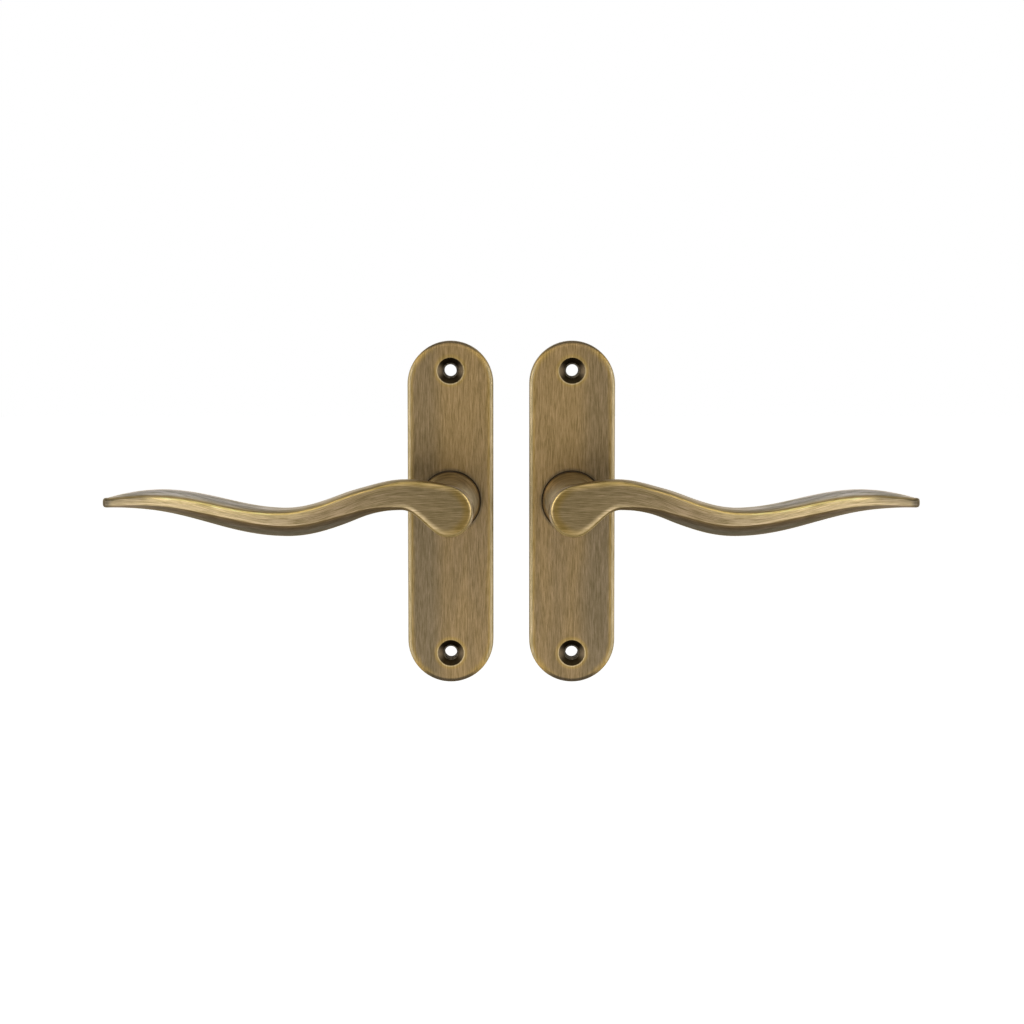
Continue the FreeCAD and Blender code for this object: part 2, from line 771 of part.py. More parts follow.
def make_thrust_washer():
    disc = rod("washer_disc", "dims.washer_diameter / 2", "places.cam_back", "places.washer_back")
    hole = rod("washer_hole", "places.journal_hole_radius", "places.cam_back", "places.washer_back")
    return cut("right_thrust_washer", disc, hole)


def make_circlip():
    """Open ring in the journal's groove, with an eye at each end."""
    span = ("places.washer_back", "places.circlip_back")
    solid = [rod("circlip_disc", "places.groove_radius + dims.circlip_width", *span)]
    openings = [
        rod("circlip_bore", "places.groove_radius", *span),
        block(
            "circlip_opening", "-dims.circlip_opening / 2", "dims.circlip_opening / 2",
            "-places.cam_radius", "0", *span,
        ),
    ]
    for side, sign in (("left", "-"), ("right", "")):
        place = (sign + "dims.circlip_eye_side", "-dims.circlip_eye_drop")
        solid.append(rod(f"circlip_{side}_ear", "dims.circlip_ear / 2", *span, *place))
        openings.append(rod(f"circlip_{side}_eye", "dims.circlip_eye / 2", *span, *place))
    return cut("right_circlip", fuse("circlip_solid", solid), fuse("circlip_openings", openings))


def arc_from(start, direction, end):
    """The arc that leaves start in a direction and ends at end."""
    chord = end - start
    side = direction - chord * (direction.dot(chord) / chord.dot(chord))
    rise = chord.Length / 2 * math.tan(direction.getAngle(chord) / 2)
    return Part.Arc(start, start + chord / 2 + side.normalize() * rise, end).toShape()


def two_arcs(start, leaving, end, arriving):
    """Two tangent arcs that join two points with given directions."""
    chord = end - start
    both = leaving + arriving
    bend = 2 * (1 - leaving.dot(arriving))
    reach = (math.sqrt(chord.dot(both) ** 2 + bend * chord.dot(chord)) - chord.dot(both)) / bend
    middle = (start + leaving * reach + end - arriving * reach) / 2
    return [arc_from(start, leaving, middle), arc_from(end, arriving * -1, middle)]


def make_return_spring():
    """Torsion spring round the bush: one leg on the plate's post, one on the cam plate's finger."""
    wire = size("spring_wire")
    bend = size("spring_bend")
    pitch = wire + size("spring_turn_gap")
    radius = number("places.bush_radius") + size("spring_clearance") + wire / 2
    fixed_side = -size("fixed_leg_side")
    moving_side = -size("finger_width") / 2 - number("places.spring_leg_offset")

    # Each leg bends outwards from the coil round a centre just outside it
    def bend_centre(side, sign):
        across = side + bend
        return Vector(across, 0, sign * math.sqrt((radius + bend) ** 2 - across ** 2))

    fixed_bend = bend_centre(fixed_side, 1)
    moving_bend = bend_centre(moving_side, -1)
    first_angle = math.atan2(fixed_bend.z, fixed_bend.x)
    last_angle = math.atan2(moving_bend.z, moving_bend.x)
    turns = (first_angle - last_angle) / (2 * math.pi) % 1 + size("spring_whole_turns")
    travel = 2 * math.pi * turns
    climb = pitch * turns
    first = -(number("places.hollow_depth") + number("places.cam_front") + climb) / 2

    steps = math.ceil(4 * turns)
    points = []
    directions = []
    for step in range(steps + 1):
        share = step / steps
        angle = first_angle - travel * share
        slope = 0 if step in (0, steps) else climb / (travel * radius)
        points.append(Vector(radius * math.cos(angle), first + climb * share, radius * math.sin(angle)))
        directions.append(Vector(math.sin(angle), slope, -math.cos(angle)).normalize())

    fixed_tip = Vector(fixed_side, first, size("fixed_leg_reach"))
    fixed_root = Vector(fixed_side, first, fixed_bend.z)
    moving_root = Vector(moving_side, first + climb, moving_bend.z)
    moving_tip = Vector(moving_side, first + climb, -size("moving_leg_reach"))
    edges = [Part.LineSegment(fixed_tip, fixed_root).toShape()]
    edges.append(arc_from(fixed_root, Vector(0, 0, -1), points[0]))
    for index in range(steps):
        edges += two_arcs(points[index], directions[index], points[index + 1], directions[index + 1])
    edges.append(arc_from(moving_root, Vector(0, 0, 1), points[-1]))
    edges.append(Part.LineSegment(moving_root, moving_tip).toShape())
    section = Part.Wire([Part.makeCircle(wire / 2, fixed_tip, Vector(0, 0, 1))])
    spring = doc.addObject("Part::Feature", "right_return_spring")
    spring.Shape = Part.Wire(edges).makePipeShell([section], True, False)
    return on_axis(spring)


def make_back_cover():
    """Steel cover over the spring housing, with countersunk holes for its screws."""
    body = doc.addObject("PartDesign::Body", "right_back_cover")
    drawing = sketch(body, "cover_outline", "XZ_Plane")
    round_ended(drawing, "places.cover_radius", "places.cover_end_centre")
    pad(body, "cover_blank", drawing, "dims.cover_thickness")
    drawing = sketch(body, "cover_holes_outline", "XZ_Plane")
    circle(drawing, "places.cover_bore_radius", ("places.zero", "places.zero"))
    for height in ("places.cover_screw_rise", "-places.cover_screw_rise"):
        circle(drawing, "places.cover_screw_radius", ("places.zero", height))
    holes = pocket(body, "cover_holes", drawing, "dims.cover_thickness")
    mouths = edges_in_front(holes.Shape, 0, 2 * math.pi * number("places.cover_screw_radius"))
    depth = "places.cover_screw_head_depth"
    edge_feature(body, "PartDesign::Chamfer", "cover_countersinks", holes, mouths, "Size", depth)
    return on_axis(body)


def make_cover_screw(name, rise):
    """Countersunk screw with a cross recess, its head flush with the cover's back."""
    head = doc.addObject("Part::Cone", name + "_head")
    head.Placement = Placement(Vector(), Rotation(Vector(1, 0, 0), -90))
    bind(head, {
        "Radius1": "places.cover_screw_radius",
        "Radius2": "places.cover_screw_head_radius",
        "Height": "places.cover_screw_head_depth",
        "Placement.Base.x": "places.axis_side",
        "Placement.Base.y": "-places.cover_screw_head_depth",
        "Placement.Base.z": f"dims.axis_height + ({rise})",
    })
    shank = rod(
        name + "_shank", "places.cover_screw_radius", "dims.cover_screw_length",
        "places.cover_screw_head_depth", "0", rise,
    )
    half_span = "dims.cross_span / 2"
    half_width = "dims.cross_width / 2"
    slots = []
    for index, (across, upright) in enumerate(((half_span, half_width), (half_width, half_span))):
        slots.append(block(
            f"{name}_slot_{index}", f"-{across}", across, f"{rise} - {upright}", f"{rise} + {upright}",
            "dims.cross_depth", "0",
        ))
    return cut(name, fuse(name + "_solid", [head, shank]), fuse(name + "_cross", slots))


def make_cover_screws():
    pair = doc.addObject("Part::Compound", "right_cover_screws")
    pair.Links = [
        make_cover_screw("upper_cover_screw", "places.cover_screw_rise"),
        make_cover_screw("lower_cover_screw", "-places.cover_screw_rise"),
    ]
    return pair


def make_spindle():
    """Square steel bar with bevelled edges, in the left lever's socket."""
    body = doc.addObject("PartDesign::Body", "spindle")
    at_free_end = {"AttachmentOffset.Base.z": "-places.spindle_back"}
    drawing = sketch(body, "spindle_outline", "XZ_Plane", at_free_end)
    outline(drawing, [
        ("-places.spindle_half", "-places.spindle_half"),
        ("places.spindle_half", "-places.spindle_half"),
        ("places.spindle_half", "places.spindle_half"),
        ("-places.spindle_half", "places.spindle_half"),
    ])
    bar = pad(body, "spindle_bar", drawing, "dims.spindle_length")
    edges = [f"Edge{index}" for index in range(1, len(bar.Shape.Edges) + 1)]
    edge_feature(body, "PartDesign::Chamfer", "spindle_bevels", bar, edges, "Size", "dims.spindle_bevel")
    return bind(body, {"Placement.Base.x": "-places.axis_side", "Placement.Base.z": "dims.axis_height"})


right_pieces = [
    make_plate(),
    make_bush(),
    fuse("right_lever", [make_turned_neck(), make_grip()]),
    make_grub_screw(),
    make_cam_plate(),
    make_thrust_washer(),
    make_circlip(),
    make_return_spring(),
    make_back_cover(),
    make_cover_screws(),
]
left_pieces = []
for piece in right_pieces:
    mirrored = doc.addObject("Part::Mirroring", piece.Label.replace("right", "left"))
    mirrored.Source = piece
    mirrored.Normal = Vector(1, 0, 0)
    left_pieces.append(mirrored)
pieces = right_pieces + left_pieces + [make_spindle()]
doc.recompute()

for thing in doc.Objects:
    if {"Invalid", "Error"} & set(thing.State):
        raise ValueError(f"{thing.Label} did not build: {thing.State}")
for piece in pieces:
    if piece.Shape.isNull() or not piece.Shape.isValid():
        raise ValueError(f"{piece.Label} has no valid shape")

os.makedirs("parts", exist_ok=True)
for piece in pieces:
    piece.Shape.exportStep(f"parts/{piece.Label}.step")
    print(piece.Label, len(piece.Shape.Solids), round(piece.Shape.Volume, 2))
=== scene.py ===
import json
import math

import bmesh
import bpy
import numpy as np
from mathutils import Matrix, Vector

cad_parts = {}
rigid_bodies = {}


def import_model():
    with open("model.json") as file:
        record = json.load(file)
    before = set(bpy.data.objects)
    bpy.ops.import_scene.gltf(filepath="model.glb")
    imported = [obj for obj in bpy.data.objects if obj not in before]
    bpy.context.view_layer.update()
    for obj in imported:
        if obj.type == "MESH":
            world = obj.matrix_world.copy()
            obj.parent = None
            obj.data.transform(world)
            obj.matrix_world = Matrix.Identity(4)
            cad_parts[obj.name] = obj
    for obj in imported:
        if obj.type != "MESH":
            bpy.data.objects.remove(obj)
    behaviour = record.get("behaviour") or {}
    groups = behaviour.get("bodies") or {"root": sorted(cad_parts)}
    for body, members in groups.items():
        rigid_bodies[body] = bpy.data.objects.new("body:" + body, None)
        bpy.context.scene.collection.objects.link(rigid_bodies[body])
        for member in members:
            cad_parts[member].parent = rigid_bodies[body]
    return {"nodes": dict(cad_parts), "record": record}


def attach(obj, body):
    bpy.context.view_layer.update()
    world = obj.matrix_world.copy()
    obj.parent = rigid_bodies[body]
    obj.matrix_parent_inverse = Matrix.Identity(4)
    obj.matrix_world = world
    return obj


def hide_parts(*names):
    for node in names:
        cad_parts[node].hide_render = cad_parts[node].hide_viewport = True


# Door handle set: the levers are rebuilt as smooth surfaces with rounded edges,
# everything else is dressed with materials. The sizes of pieces are in
# millimetres, in axes about the right lever; the stage, lamps and camera are in metres.

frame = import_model()
for leftOver in [item for item in bpy.data.objects if item.name in ("Cube", "Camera", "Light")]:
    bpy.data.objects.remove(leftOver)
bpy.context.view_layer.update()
nodes = frame["nodes"]
print("frame loaded:", len(nodes), "nodes")

millimetre = 0.001
axisSide = 24.85  # the levers' axes, in millimetres from the middle
axisHeight = 4.75


# Meshes

# Eases from 0 to 1 along half a cosine, and stays level outside.
def ease(share):
    return 0.5 - 0.5 * np.cos(np.pi * np.clip(share, 0.0, 1.0))


# A value along the lever: between two marks (place, value) it eases from one to the next.
def along(place, marks):
    at = np.array([mark[0] for mark in marks], float)
    value = np.array([mark[1] for mark in marks], float)
    stretch = np.clip(np.searchsorted(at, place, side="right") - 1, 0, len(at) - 2)
    share = (place - at[stretch]) / (at[stretch + 1] - at[stretch])
    return value[stretch] + (value[stretch + 1] - value[stretch]) * ease(share)


# A curve that leaves start and reaches end, pulled to the corner between them:
# the quadratic Bezier curve of the three points, at the shares given.
def roundedCorner(start, corner, end, shares):
    t = shares[None, :, None]
    return (1 - t) ** 2 * start[:, None] + 2 * t * (1 - t) * corner[:, None] + t ** 2 * end[:, None]


# Turns a grid of points, in millimetres, into a mesh object. The rows wrap round,
# the columns don't. Doubles are merged, so a column on one point becomes a pole.
# Brush lines, where given, go into a UV map, from the column wallFrom on with
# wallBrush; layers are values at the points that the materials read.
def surfaceFromGrid(name, points, layers=None, brush=None, wallBrush=None, wallFrom=0):
    rows, columns = points.shape[:2]
    index = np.arange(rows * columns).reshape(rows, columns)
    following = np.roll(index, -1, axis=0)
    quads = np.stack([index[:, :-1], following[:, :-1], following[:, 1:], index[:, 1:]], axis=-1)
    isWall = np.broadcast_to(np.arange(columns - 1) >= wallFrom, quads.shape[:2]).reshape(-1, 1, 1)
    quads = quads.reshape(-1, 4)
    mesh = bpy.data.meshes.new(name)
    mesh.from_pydata((points.reshape(-1, 3) * millimetre).tolist(), [], quads.tolist())
    if brush is not None:
        chosen = np.where(isWall, wallBrush.reshape(-1, 2)[quads], brush.reshape(-1, 2)[quads])
        uvMap = mesh.uv_layers.new(name="brush")
        uvMap.data.foreach_set("uv", chosen.astype(np.float32).reshape(-1))
    for layerName, values in (layers or {}).items():
        layer = mesh.attributes.new(layerName, "FLOAT", "POINT")
        layer.data.foreach_set("value", values.astype(np.float32).reshape(-1))
    tidy = bmesh.new()
    tidy.from_mesh(mesh)
    bmesh.ops.remove_doubles(tidy, verts=tidy.verts, dist=1e-7)
    bmesh.ops.recalc_face_normals(tidy, faces=tidy.faces)
    tidy.to_mesh(mesh)
    tidy.free()
    piece = bpy.data.objects.new(name, mesh)
    bpy.context.scene.collection.objects.link(piece)
    return piece


def smoothShading(piece, angle):
    piece.data.polygons.foreach_set("use_smooth", np.ones(len(piece.data.polygons), bool))
    piece.data.set_sharp_from_angle(angle=math.radians(angle))


# The levers: head and grip

leverShape = {
    "reach": 136.2,
    "centre": [(17, 6.6), (63.5, -4.45), (118.5, 4.25)],
    "tipDrop": 1.6,
    "halfHeight": [(16, 6.1), (30, 5.8), (41, 6.25), (66, 5.75), (84, 5.85)],
    "upperFlank": [(0, 0.6), (30, 1.55), (52, 1.55), (94, 3.5)],
    "lowerFlank": [(12, 1.0), (50, 4.8)],
    "taperAt": 84.0,
    "taper": (4.15, 1.95),  # amount and power
    "upperTaper": (3.2, 4.2),
    "lowerTaper": (4.35, 1.2),
    "headEnd": 16.0,
    "headLeave": 2.0,
    "headFall": 1.6,  # power
    "lowerBlend": 18.0,
    "flankDepth": [(12, 1.3), (50, 4.8), (84, 4.8), (136.5, 2.4)],
    "thickness": [(0, 12.0), (66, 10.5), (136.5, 6.0)],
    "backFullness": [(3.0, 3.0), (18.0, 2.0)],  # power of the back's superellipse
    "faceFront": 59.0,
    "tipSetback": (5.0, 2.2),  # amount and power
    "setbackFrom": 30.0,
    "faceCrown": 0.1,
    "headRadius": 10.3,
    "headBlend": 0.3,  # radians
    "headEdge": 1.3,
    "headEdgeFrom": 0.85,  # of half a turn
    "upperRound": 0.35,
    "upperFrom": 0.8,  # share upwards from which this rounding is reached
    "lowerRound": [(-9, 0.6), (-2, 1.2), (10, 1.4), (32, 0.35), (136.5, 0.35)],
    "edgeRound": 0.8,
    "ridgeRound": 1.3,
    "cutLimit": 0.45,  # of the face's or the flank's width
    "flankBulge": (0.22, 5.0),  # height, and the width of flank from which it is full
    "brushLevel": 14.0,  # the brush lines follow the wave from here on
    "tipCap": 2.0,
    "tipInset": 1.5,
    "tipFacePower": 0.8,
    "tipSidePower": 0.6,
}


# Heights of silhouette and face along the lever: a wavy centre line with half the
# height on either side, less the flanks, all three falling towards the tip by a
# power of the way there; near the head the top falls to the head's circle and
# the lower edge swings down to it.
def leverHeights(place):
    shape = leverShape
    reach, headEnd, leave = shape["reach"], shape["headEnd"], shape["headLeave"]
    crestAt = shape["centre"][-1][0]
    past = np.clip((place - crestAt) / (reach - crestAt), 0, 1)
    centre = along(place, shape["centre"]) - shape["tipDrop"] * past ** 2
    taper = np.clip((place - shape["taperAt"]) / (reach - shape["taperAt"]), 0, 1)
    falls = {"halfHeight": "taper", "upperFlank": "upperTaper", "lowerFlank": "lowerTaper"}
    half, upper, lower = (
        along(place, shape[marks]) - shape[fall][0] * taper ** shape[fall][1] for marks, fall in falls.items()
    )
    crown = shape["centre"][0][1] + shape["halfHeight"][0][1]
    meeting = math.sqrt(shape["headRadius"] ** 2 - leave ** 2)
    back = np.clip((headEnd - place) / (headEnd + leave), 0, 1)
    top = np.where(place < headEnd, crown - (crown - meeting) * back ** shape["headFall"], centre + half)
    bottom = centre - half
    faceTop = top - upper
    faceBottom = bottom + lower
    share = ease(place / shape["lowerBlend"])
    low = shape["headEdge"] - shape["headRadius"]
    swing = low + (faceBottom - low) * share
    near = place < shape["lowerBlend"]
    faceBottom = np.where(near, swing, faceBottom)
    bottom = np.where(near, swing - shape["headEdge"] - (lower - shape["headEdge"]) * share, bottom)
    return top, faceTop, faceBottom, bottom


# The head's silhouette about the axis: its circle, raised a little straight above
# the axis to run into the grip's top.
def headOutline(angle):
    above = leverHeights(np.array([0.0]))[0][0] - leverShape["headRadius"]
    return leverShape["headRadius"] + above * (1 - ease((angle - np.pi / 2) / leverShape["headBlend"]))


# The grip and head as one closed surface. Round the lever run the stations of its
# outline; from each a profile runs from the middle of the face over its rounded
# edge, down the flank, round the ridge and along a superellipse to the middle of
# the back.
def makeGrip(name):
    shape = leverShape
    reach = shape["reach"]
    straightEnd = reach - shape["tipCap"]
    gripSteps, headSteps, tipSteps = 190, 72, 18
    faceSteps, cornerSteps, flankSteps, backSteps = 15, 8, 9, 26
    even = np.linspace(0, 1, gripSteps)
    stretch = straightEnd * (even + (1 - np.cos(np.pi * even)) / 2) / 2  # closer at both ends
    top, faceTop, faceBottom, bottom = leverHeights(stretch)

    # Outline of the face, outline of the silhouette, middle of face and middle of back
    upperFace = np.stack([stretch, faceTop], axis=1)
    upperSide = np.stack([stretch, top], axis=1)
    lowerFace = np.stack([stretch, faceBottom], axis=1)
    lowerSide = np.stack([stretch, bottom], axis=1)
    faceMiddle = np.stack([stretch, (faceTop + faceBottom) / 2], axis=1)
    backMiddle = np.stack([stretch, (top + bottom) / 2], axis=1)

    angle = np.linspace(np.pi / 2, 3 * np.pi / 2, headSteps + 2)[1:-1]
    radius = headOutline(angle)
    edgeFrom = shape["headEdgeFrom"] * np.pi
    edge = along(angle, [(np.pi / 2, top[0] - faceTop[0]), (edgeFrom, shape["headEdge"])])
    direction = np.stack([np.cos(angle), np.sin(angle)], axis=1)
    headFace = direction * (radius - edge)[:, None]
    headSide = direction * radius[:, None]

    turn = np.linspace(-np.pi / 2, np.pi / 2, tipSteps + 2)[1:-1]
    cosine, sine = np.cos(turn), np.sin(turn)

    def cap(length, middleHeight, height, power):  # half a superellipse round the tip
        return np.stack([
            straightEnd + length * cosine ** power,
            middleHeight + height / 2 * np.sign(sine) * np.abs(sine) ** power,
        ], axis=1)

    faceLength = shape["tipCap"] - shape["tipInset"]
    tipFace = cap(faceLength, faceMiddle[-1, 1], faceTop[-1] - faceBottom[-1], shape["tipFacePower"])
    tipSide = cap(shape["tipCap"], backMiddle[-1, 1], top[-1] - bottom[-1], shape["tipSidePower"])

    face = np.concatenate([upperFace[::-1], headFace, lowerFace, tipFace])
    side = np.concatenate([upperSide[::-1], headSide, lowerSide, tipSide])
    middle = np.concatenate([
        faceMiddle[::-1], np.repeat(faceMiddle[:1], headSteps, axis=0),
        faceMiddle, np.repeat(faceMiddle[-1:], tipSteps, axis=0),
    ])
    rear = np.concatenate([
        backMiddle[::-1], np.repeat(backMiddle[:1], headSteps, axis=0),
        backMiddle, np.repeat(backMiddle[-1:], tipSteps, axis=0),
    ])
    place = middle[:, 0]
    slope = np.clip((place - shape["setbackFrom"]) / (reach - shape["setbackFrom"]), 0, 1)
    front = shape["faceFront"] - shape["tipSetback"][0] * slope ** shape["tipSetback"][1]
    ridgeDepth = front - along(place, shape["flankDepth"])
    rearDepth = front - along(place, shape["thickness"])
    fullness = along(place, shape["backFullness"])

    def solid(flat, depth):  # outline points and distances in front of the door, as points
        return np.stack([flat[:, 0], -depth, flat[:, 1]], axis=1)

    middlePoint = solid(middle, front)
    edgePoint = solid(face, front - shape["faceCrown"])
    ridgePoint = solid(side, ridgeDepth)
    faceWidth = np.linalg.norm(edgePoint - middlePoint, axis=1)
    flankWidth = np.linalg.norm(ridgePoint - edgePoint, axis=1)
    flankWay = (ridgePoint - edgePoint) / flankWidth[:, None]

    # Face: from its middle out, falling by the square of the share
    upward = np.where(face[:, 1] > middle[:, 1], 1.0, -1.0)
    upward[gripSteps:gripSteps + headSteps] = np.sin(angle)
    upward[-tipSteps:] = np.sin(turn)
    lowerCut = along(face[:, 0], shape["lowerRound"])
    faceCut = lowerCut + (shape["upperRound"] - lowerCut) * ease(upward / shape["upperFrom"])
    faceCut = np.minimum(faceCut, shape["cutLimit"] * faceWidth)
    edgeCut = np.minimum(shape["edgeRound"], shape["cutLimit"] * flankWidth)
    faceShares = np.linspace(0, 1, faceSteps)[None, :] * (1 - faceCut / faceWidth)[:, None]
    facePart = middlePoint[:, None] + (edgePoint - middlePoint)[:, None] * faceShares[..., None]
    facePart[..., 1] = shape["faceCrown"] * faceShares ** 2 - front[:, None]

    # Rounded edge, flank with a bulge of 4 s (1 - s) over its share s, rounded ridge, and back
    corner = np.linspace(0, 1, cornerSteps)
    edgeEnd = edgePoint + flankWay * edgeCut[:, None]
    edgePart = roundedCorner(facePart[:, -1], edgePoint, edgeEnd, corner)
    ridgeCut = np.minimum(shape["ridgeRound"], 0.5 * flankWidth)
    flankEnd = ridgePoint - flankWay * ridgeCut[:, None]
    flankShares = np.linspace(0, 1, flankSteps)[None, :, None]
    flankPart = edgeEnd[:, None] + (flankEnd - edgeEnd)[:, None] * flankShares
    outward = np.stack([side[:, 0] - face[:, 0], np.zeros(len(side)), side[:, 1] - face[:, 1]], axis=1)
    outward /= np.linalg.norm(outward, axis=1)[:, None]
    inFront = (front - shape["faceCrown"] - ridgeDepth) / flankWidth
    bulgeWay = outward * inFront[:, None]
    bulgeWay[:, 1] = -np.sqrt(1 - inFront ** 2)
    bulgeHeight, fullWidth = shape["flankBulge"]
    bulge = bulgeHeight * np.minimum(1, flankWidth / fullWidth) * 4
    flankPart += bulgeWay[:, None] * bulge[:, None, None] * flankShares * (1 - flankShares)
    drop = ridgeDepth - rearDepth
    firstTurn = np.arcsin((ridgeCut / drop) ** (fullness / 2))
    turns = firstTurn[:, None] + (np.pi / 2 - firstTurn)[:, None] * np.linspace(0, 1, backSteps)[None, :]
    inward = np.cos(turns) ** (2 / fullness)[:, None]
    backward = np.sin(turns) ** (2 / fullness)[:, None]
    backPart = np.empty(turns.shape + (3,))
    backPart[..., 0] = rear[:, None, 0] + (side - rear)[:, None, 0] * inward
    backPart[..., 2] = rear[:, None, 1] + (side - rear)[:, None, 1] * inward
    backPart[..., 1] = -(ridgeDepth[:, None] - drop[:, None] * backward)
    backPart[:, -1] = solid(rear, rearDepth)
    ridgePart = roundedCorner(flankEnd, ridgePoint, backPart[:, 0], corner)
    points = np.concatenate([
        facePart, edgePart[:, 1:], flankPart[:, 1:], ridgePart[:, 1:], backPart[:, 1:],
    ], axis=1)

    # Distance from the face's edge: positive on the face, negative over the rest
    steps = np.linalg.norm(np.diff(points, axis=1), axis=2)
    profile = np.concatenate([np.zeros((len(points), 1)), np.cumsum(steps, axis=1)], axis=1)
    edgeColumn = faceSteps + cornerSteps // 2 - 1
    fromEdge = profile[:, edgeColumn:edgeColumn + 1] - profile
    upward = np.broadcast_to(upward[:, None], profile.shape)

    # Brush lines: along the lever on the face, along the outline on flanks and back,
    # where they are moved aside so that they don't repeat the face's
    aside = 40.0
    grain = along(np.maximum(points[..., 0], shape["brushLevel"]), shape["centre"])
    faceBrush = np.stack([points[..., 0], points[..., 2] - grain], axis=-1)
    outlineSteps = np.linalg.norm(np.diff(side, axis=0, prepend=side[:1]), axis=1)
    outlineRun = np.cumsum(outlineSteps)
    wallBrush = np.stack([np.broadcast_to(outlineRun[:, None], profile.shape), aside + profile], axis=-1)
    layers = {"fromEdge": fromEdge, "upward": upward, "lengthAt": points[..., 0]}
    piece = surfaceFromGrid(name, points, layers, faceBrush, wallBrush, edgeColumn)
    smoothShading(piece, 40)
    return piece


# The necks: from inside the head to the journal's end and into the square socket

neckShape = {
    "front": 53.6,
    "rim": 12.1,
    "neck": 9.6,
    "trumpetBack": 10.55,
    "trumpetFront": 29.05,
    "shoulder": 9.8,
    "journal": 7.45,
    "journalEnd": 3.4,
    "flats": 6.3,
    "groove": 6.85,
    "grooveAt": (1.4, 0.6),
    "end": 0.2,
    "socket": 4.05,
    "socketDepth": 30.0,
    "grubHole": 2.5,
    "grubDistance": 21.0,
    "grubReach": (-3.6, -14.0),
    "divisions": 160,
}


# A turned surface: every row is a ring whose radius is limited by two flats or
# replaced by a square, radius = half width / larger of cosine and sine. A row
# gives distance in front of the door, radius, half width over the flats, and half
# width of the square (0 where the row is round). The trumpet is an arc that
# leaves the neck along it and ends on the rim.
def makeNeck(name):
    shape = neckShape
    rim, neck, front, shoulder = (shape[key] for key in ("rim", "neck", "front", "shoulder"))
    noFlats = 99.0
    length = shape["trumpetFront"] - shape["trumpetBack"]
    bend = ((rim - neck) ** 2 + length ** 2) / (2 * (rim - neck))
    distance = np.linspace(shape["trumpetFront"], shape["trumpetBack"], 26)
    flare = neck + bend - np.sqrt(bend ** 2 - (shape["trumpetFront"] - distance) ** 2)

    # Closed front end with a chamfer, straight neck, trumpet, rounded rim and shoulder
    rows = [(front, 0.0), (front, neck - 0.4), (front - 0.8, neck), (38.0, neck)]
    rows += zip(distance, flare)
    rows += [(10.25, rim), (10.0, rim - 0.08), (9.86, rim - 0.3), (shoulder, rim - 0.6)]

    # Journal, flats with the circlip's groove, chamfered end, and the square socket back in
    journal, flats, groove, socket = (shape[key] for key in ("journal", "flats", "groove", "socket"))
    end, (grooveFront, grooveBack) = shape["end"], shape["grooveAt"]
    rows += [(shoulder, journal), (shape["journalEnd"], journal)]
    rows = [(at, radius, noFlats, 0.0) for at, radius in rows]
    rows += [
        (shape["journalEnd"], journal, flats, 0.0), (grooveFront, journal, flats, 0.0),
        (grooveFront, groove, flats, 0.0), (grooveBack, groove, flats, 0.0),
        (grooveBack, journal, flats, 0.0), (end + 0.25, journal, flats, 0.0),
        (end, journal - 0.25, flats - 0.25, 0.0),
        (end, 0.0, noFlats, socket + 0.2), (end + 0.2, 0.0, noFlats, socket),
        (shape["socketDepth"], 0.0, noFlats, socket), (shape["socketDepth"], 0.0, noFlats, 0.0),
    ]
    rows = np.array(rows)

    # Points of the rings
    angle = 2 * np.pi * np.arange(shape["divisions"]) / shape["divisions"]
    cosine, sine = np.cos(angle)[:, None], np.sin(angle)[:, None]
    flatLimit = rows[None, :, 2] / np.maximum(np.abs(cosine), 1e-6)
    square = rows[None, :, 3] / np.maximum(np.abs(cosine), np.abs(sine))
    radius = np.where(rows[None, :, 3] > 0, square, np.minimum(rows[None, :, 1], flatLimit))
    points = np.stack([
        radius * cosine, np.broadcast_to(-rows[None, :, 0], radius.shape), radius * sine,
    ], axis=-1)
    piece = surfaceFromGrid(name, points, {"fromEdge": rim - radius})

    # The grub screw's hole: an upright cylinder, from the socket down through the underside
    ring = np.linspace(0, 2 * np.pi, 48, endpoint=False)[:, None]
    start, stop = shape["grubReach"]
    reachOut = shape["grubHole"] * np.array([0.0, 1.0, 1.0, 0.0])
    height = np.array([start, start, stop, stop])
    drill = np.stack([
        np.cos(ring) * reachOut,
        np.sin(ring) * reachOut - shape["grubDistance"],
        np.broadcast_to(height, (len(ring), 4)),
    ], axis=-1)
    cutter = surfaceFromGrid("drill", drill)
    boring = piece.modifiers.new("grubHole", "BOOLEAN")
    boring.operation = "DIFFERENCE"
    boring.solver = "EXACT"
    boring.object = cutter
    bpy.context.view_layer.update()
    bored = bpy.data.meshes.new_from_object(piece.evaluated_get(bpy.context.evaluated_depsgraph_get()))
    piece.modifiers.clear()
    piece.data = bored
    bpy.data.objects.remove(cutter)
    smoothShading(piece, 30)
    return piece


# Moves a piece that is drawn about the right handle's axis to its place, and for
# the left handle mirrors it and turns its faces outwards again.
def placeOnAxis(piece, sign):
    mesh = piece.data
    corners = np.empty(len(mesh.vertices) * 3, np.float32)
    mesh.vertices.foreach_get("co", corners)
    corners = corners.reshape(-1, 3)
    corners[:, 0] = sign * (corners[:, 0] + axisSide * millimetre)
    corners[:, 2] += axisHeight * millimetre
    mesh.vertices.foreach_set("co", corners.reshape(-1))
    if sign < 0:
        mesh.flip_normals()
    mesh.update()


levers = {}
for side, sign in (("right", 1), ("left", -1)):
    grip = makeGrip(side + "_grip")
    neck = makeNeck(side + "_neck")
    for piece in (grip, neck):
        placeOnAxis(piece, sign)
        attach(piece, side + "_handle")
        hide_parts(side + "_lever")
    levers[side] = (grip, neck)
    print(side, "lever made:", len(grip.data.polygons), "and", len(neck.data.polygons), "faces")


# Materials

perMetre = 1000.0  # millimetres in a metre


def newMaterial(name):
    material = bpy.data.materials.new(name)
    material.use_nodes = True
    material.node_tree.nodes.clear()
    return material


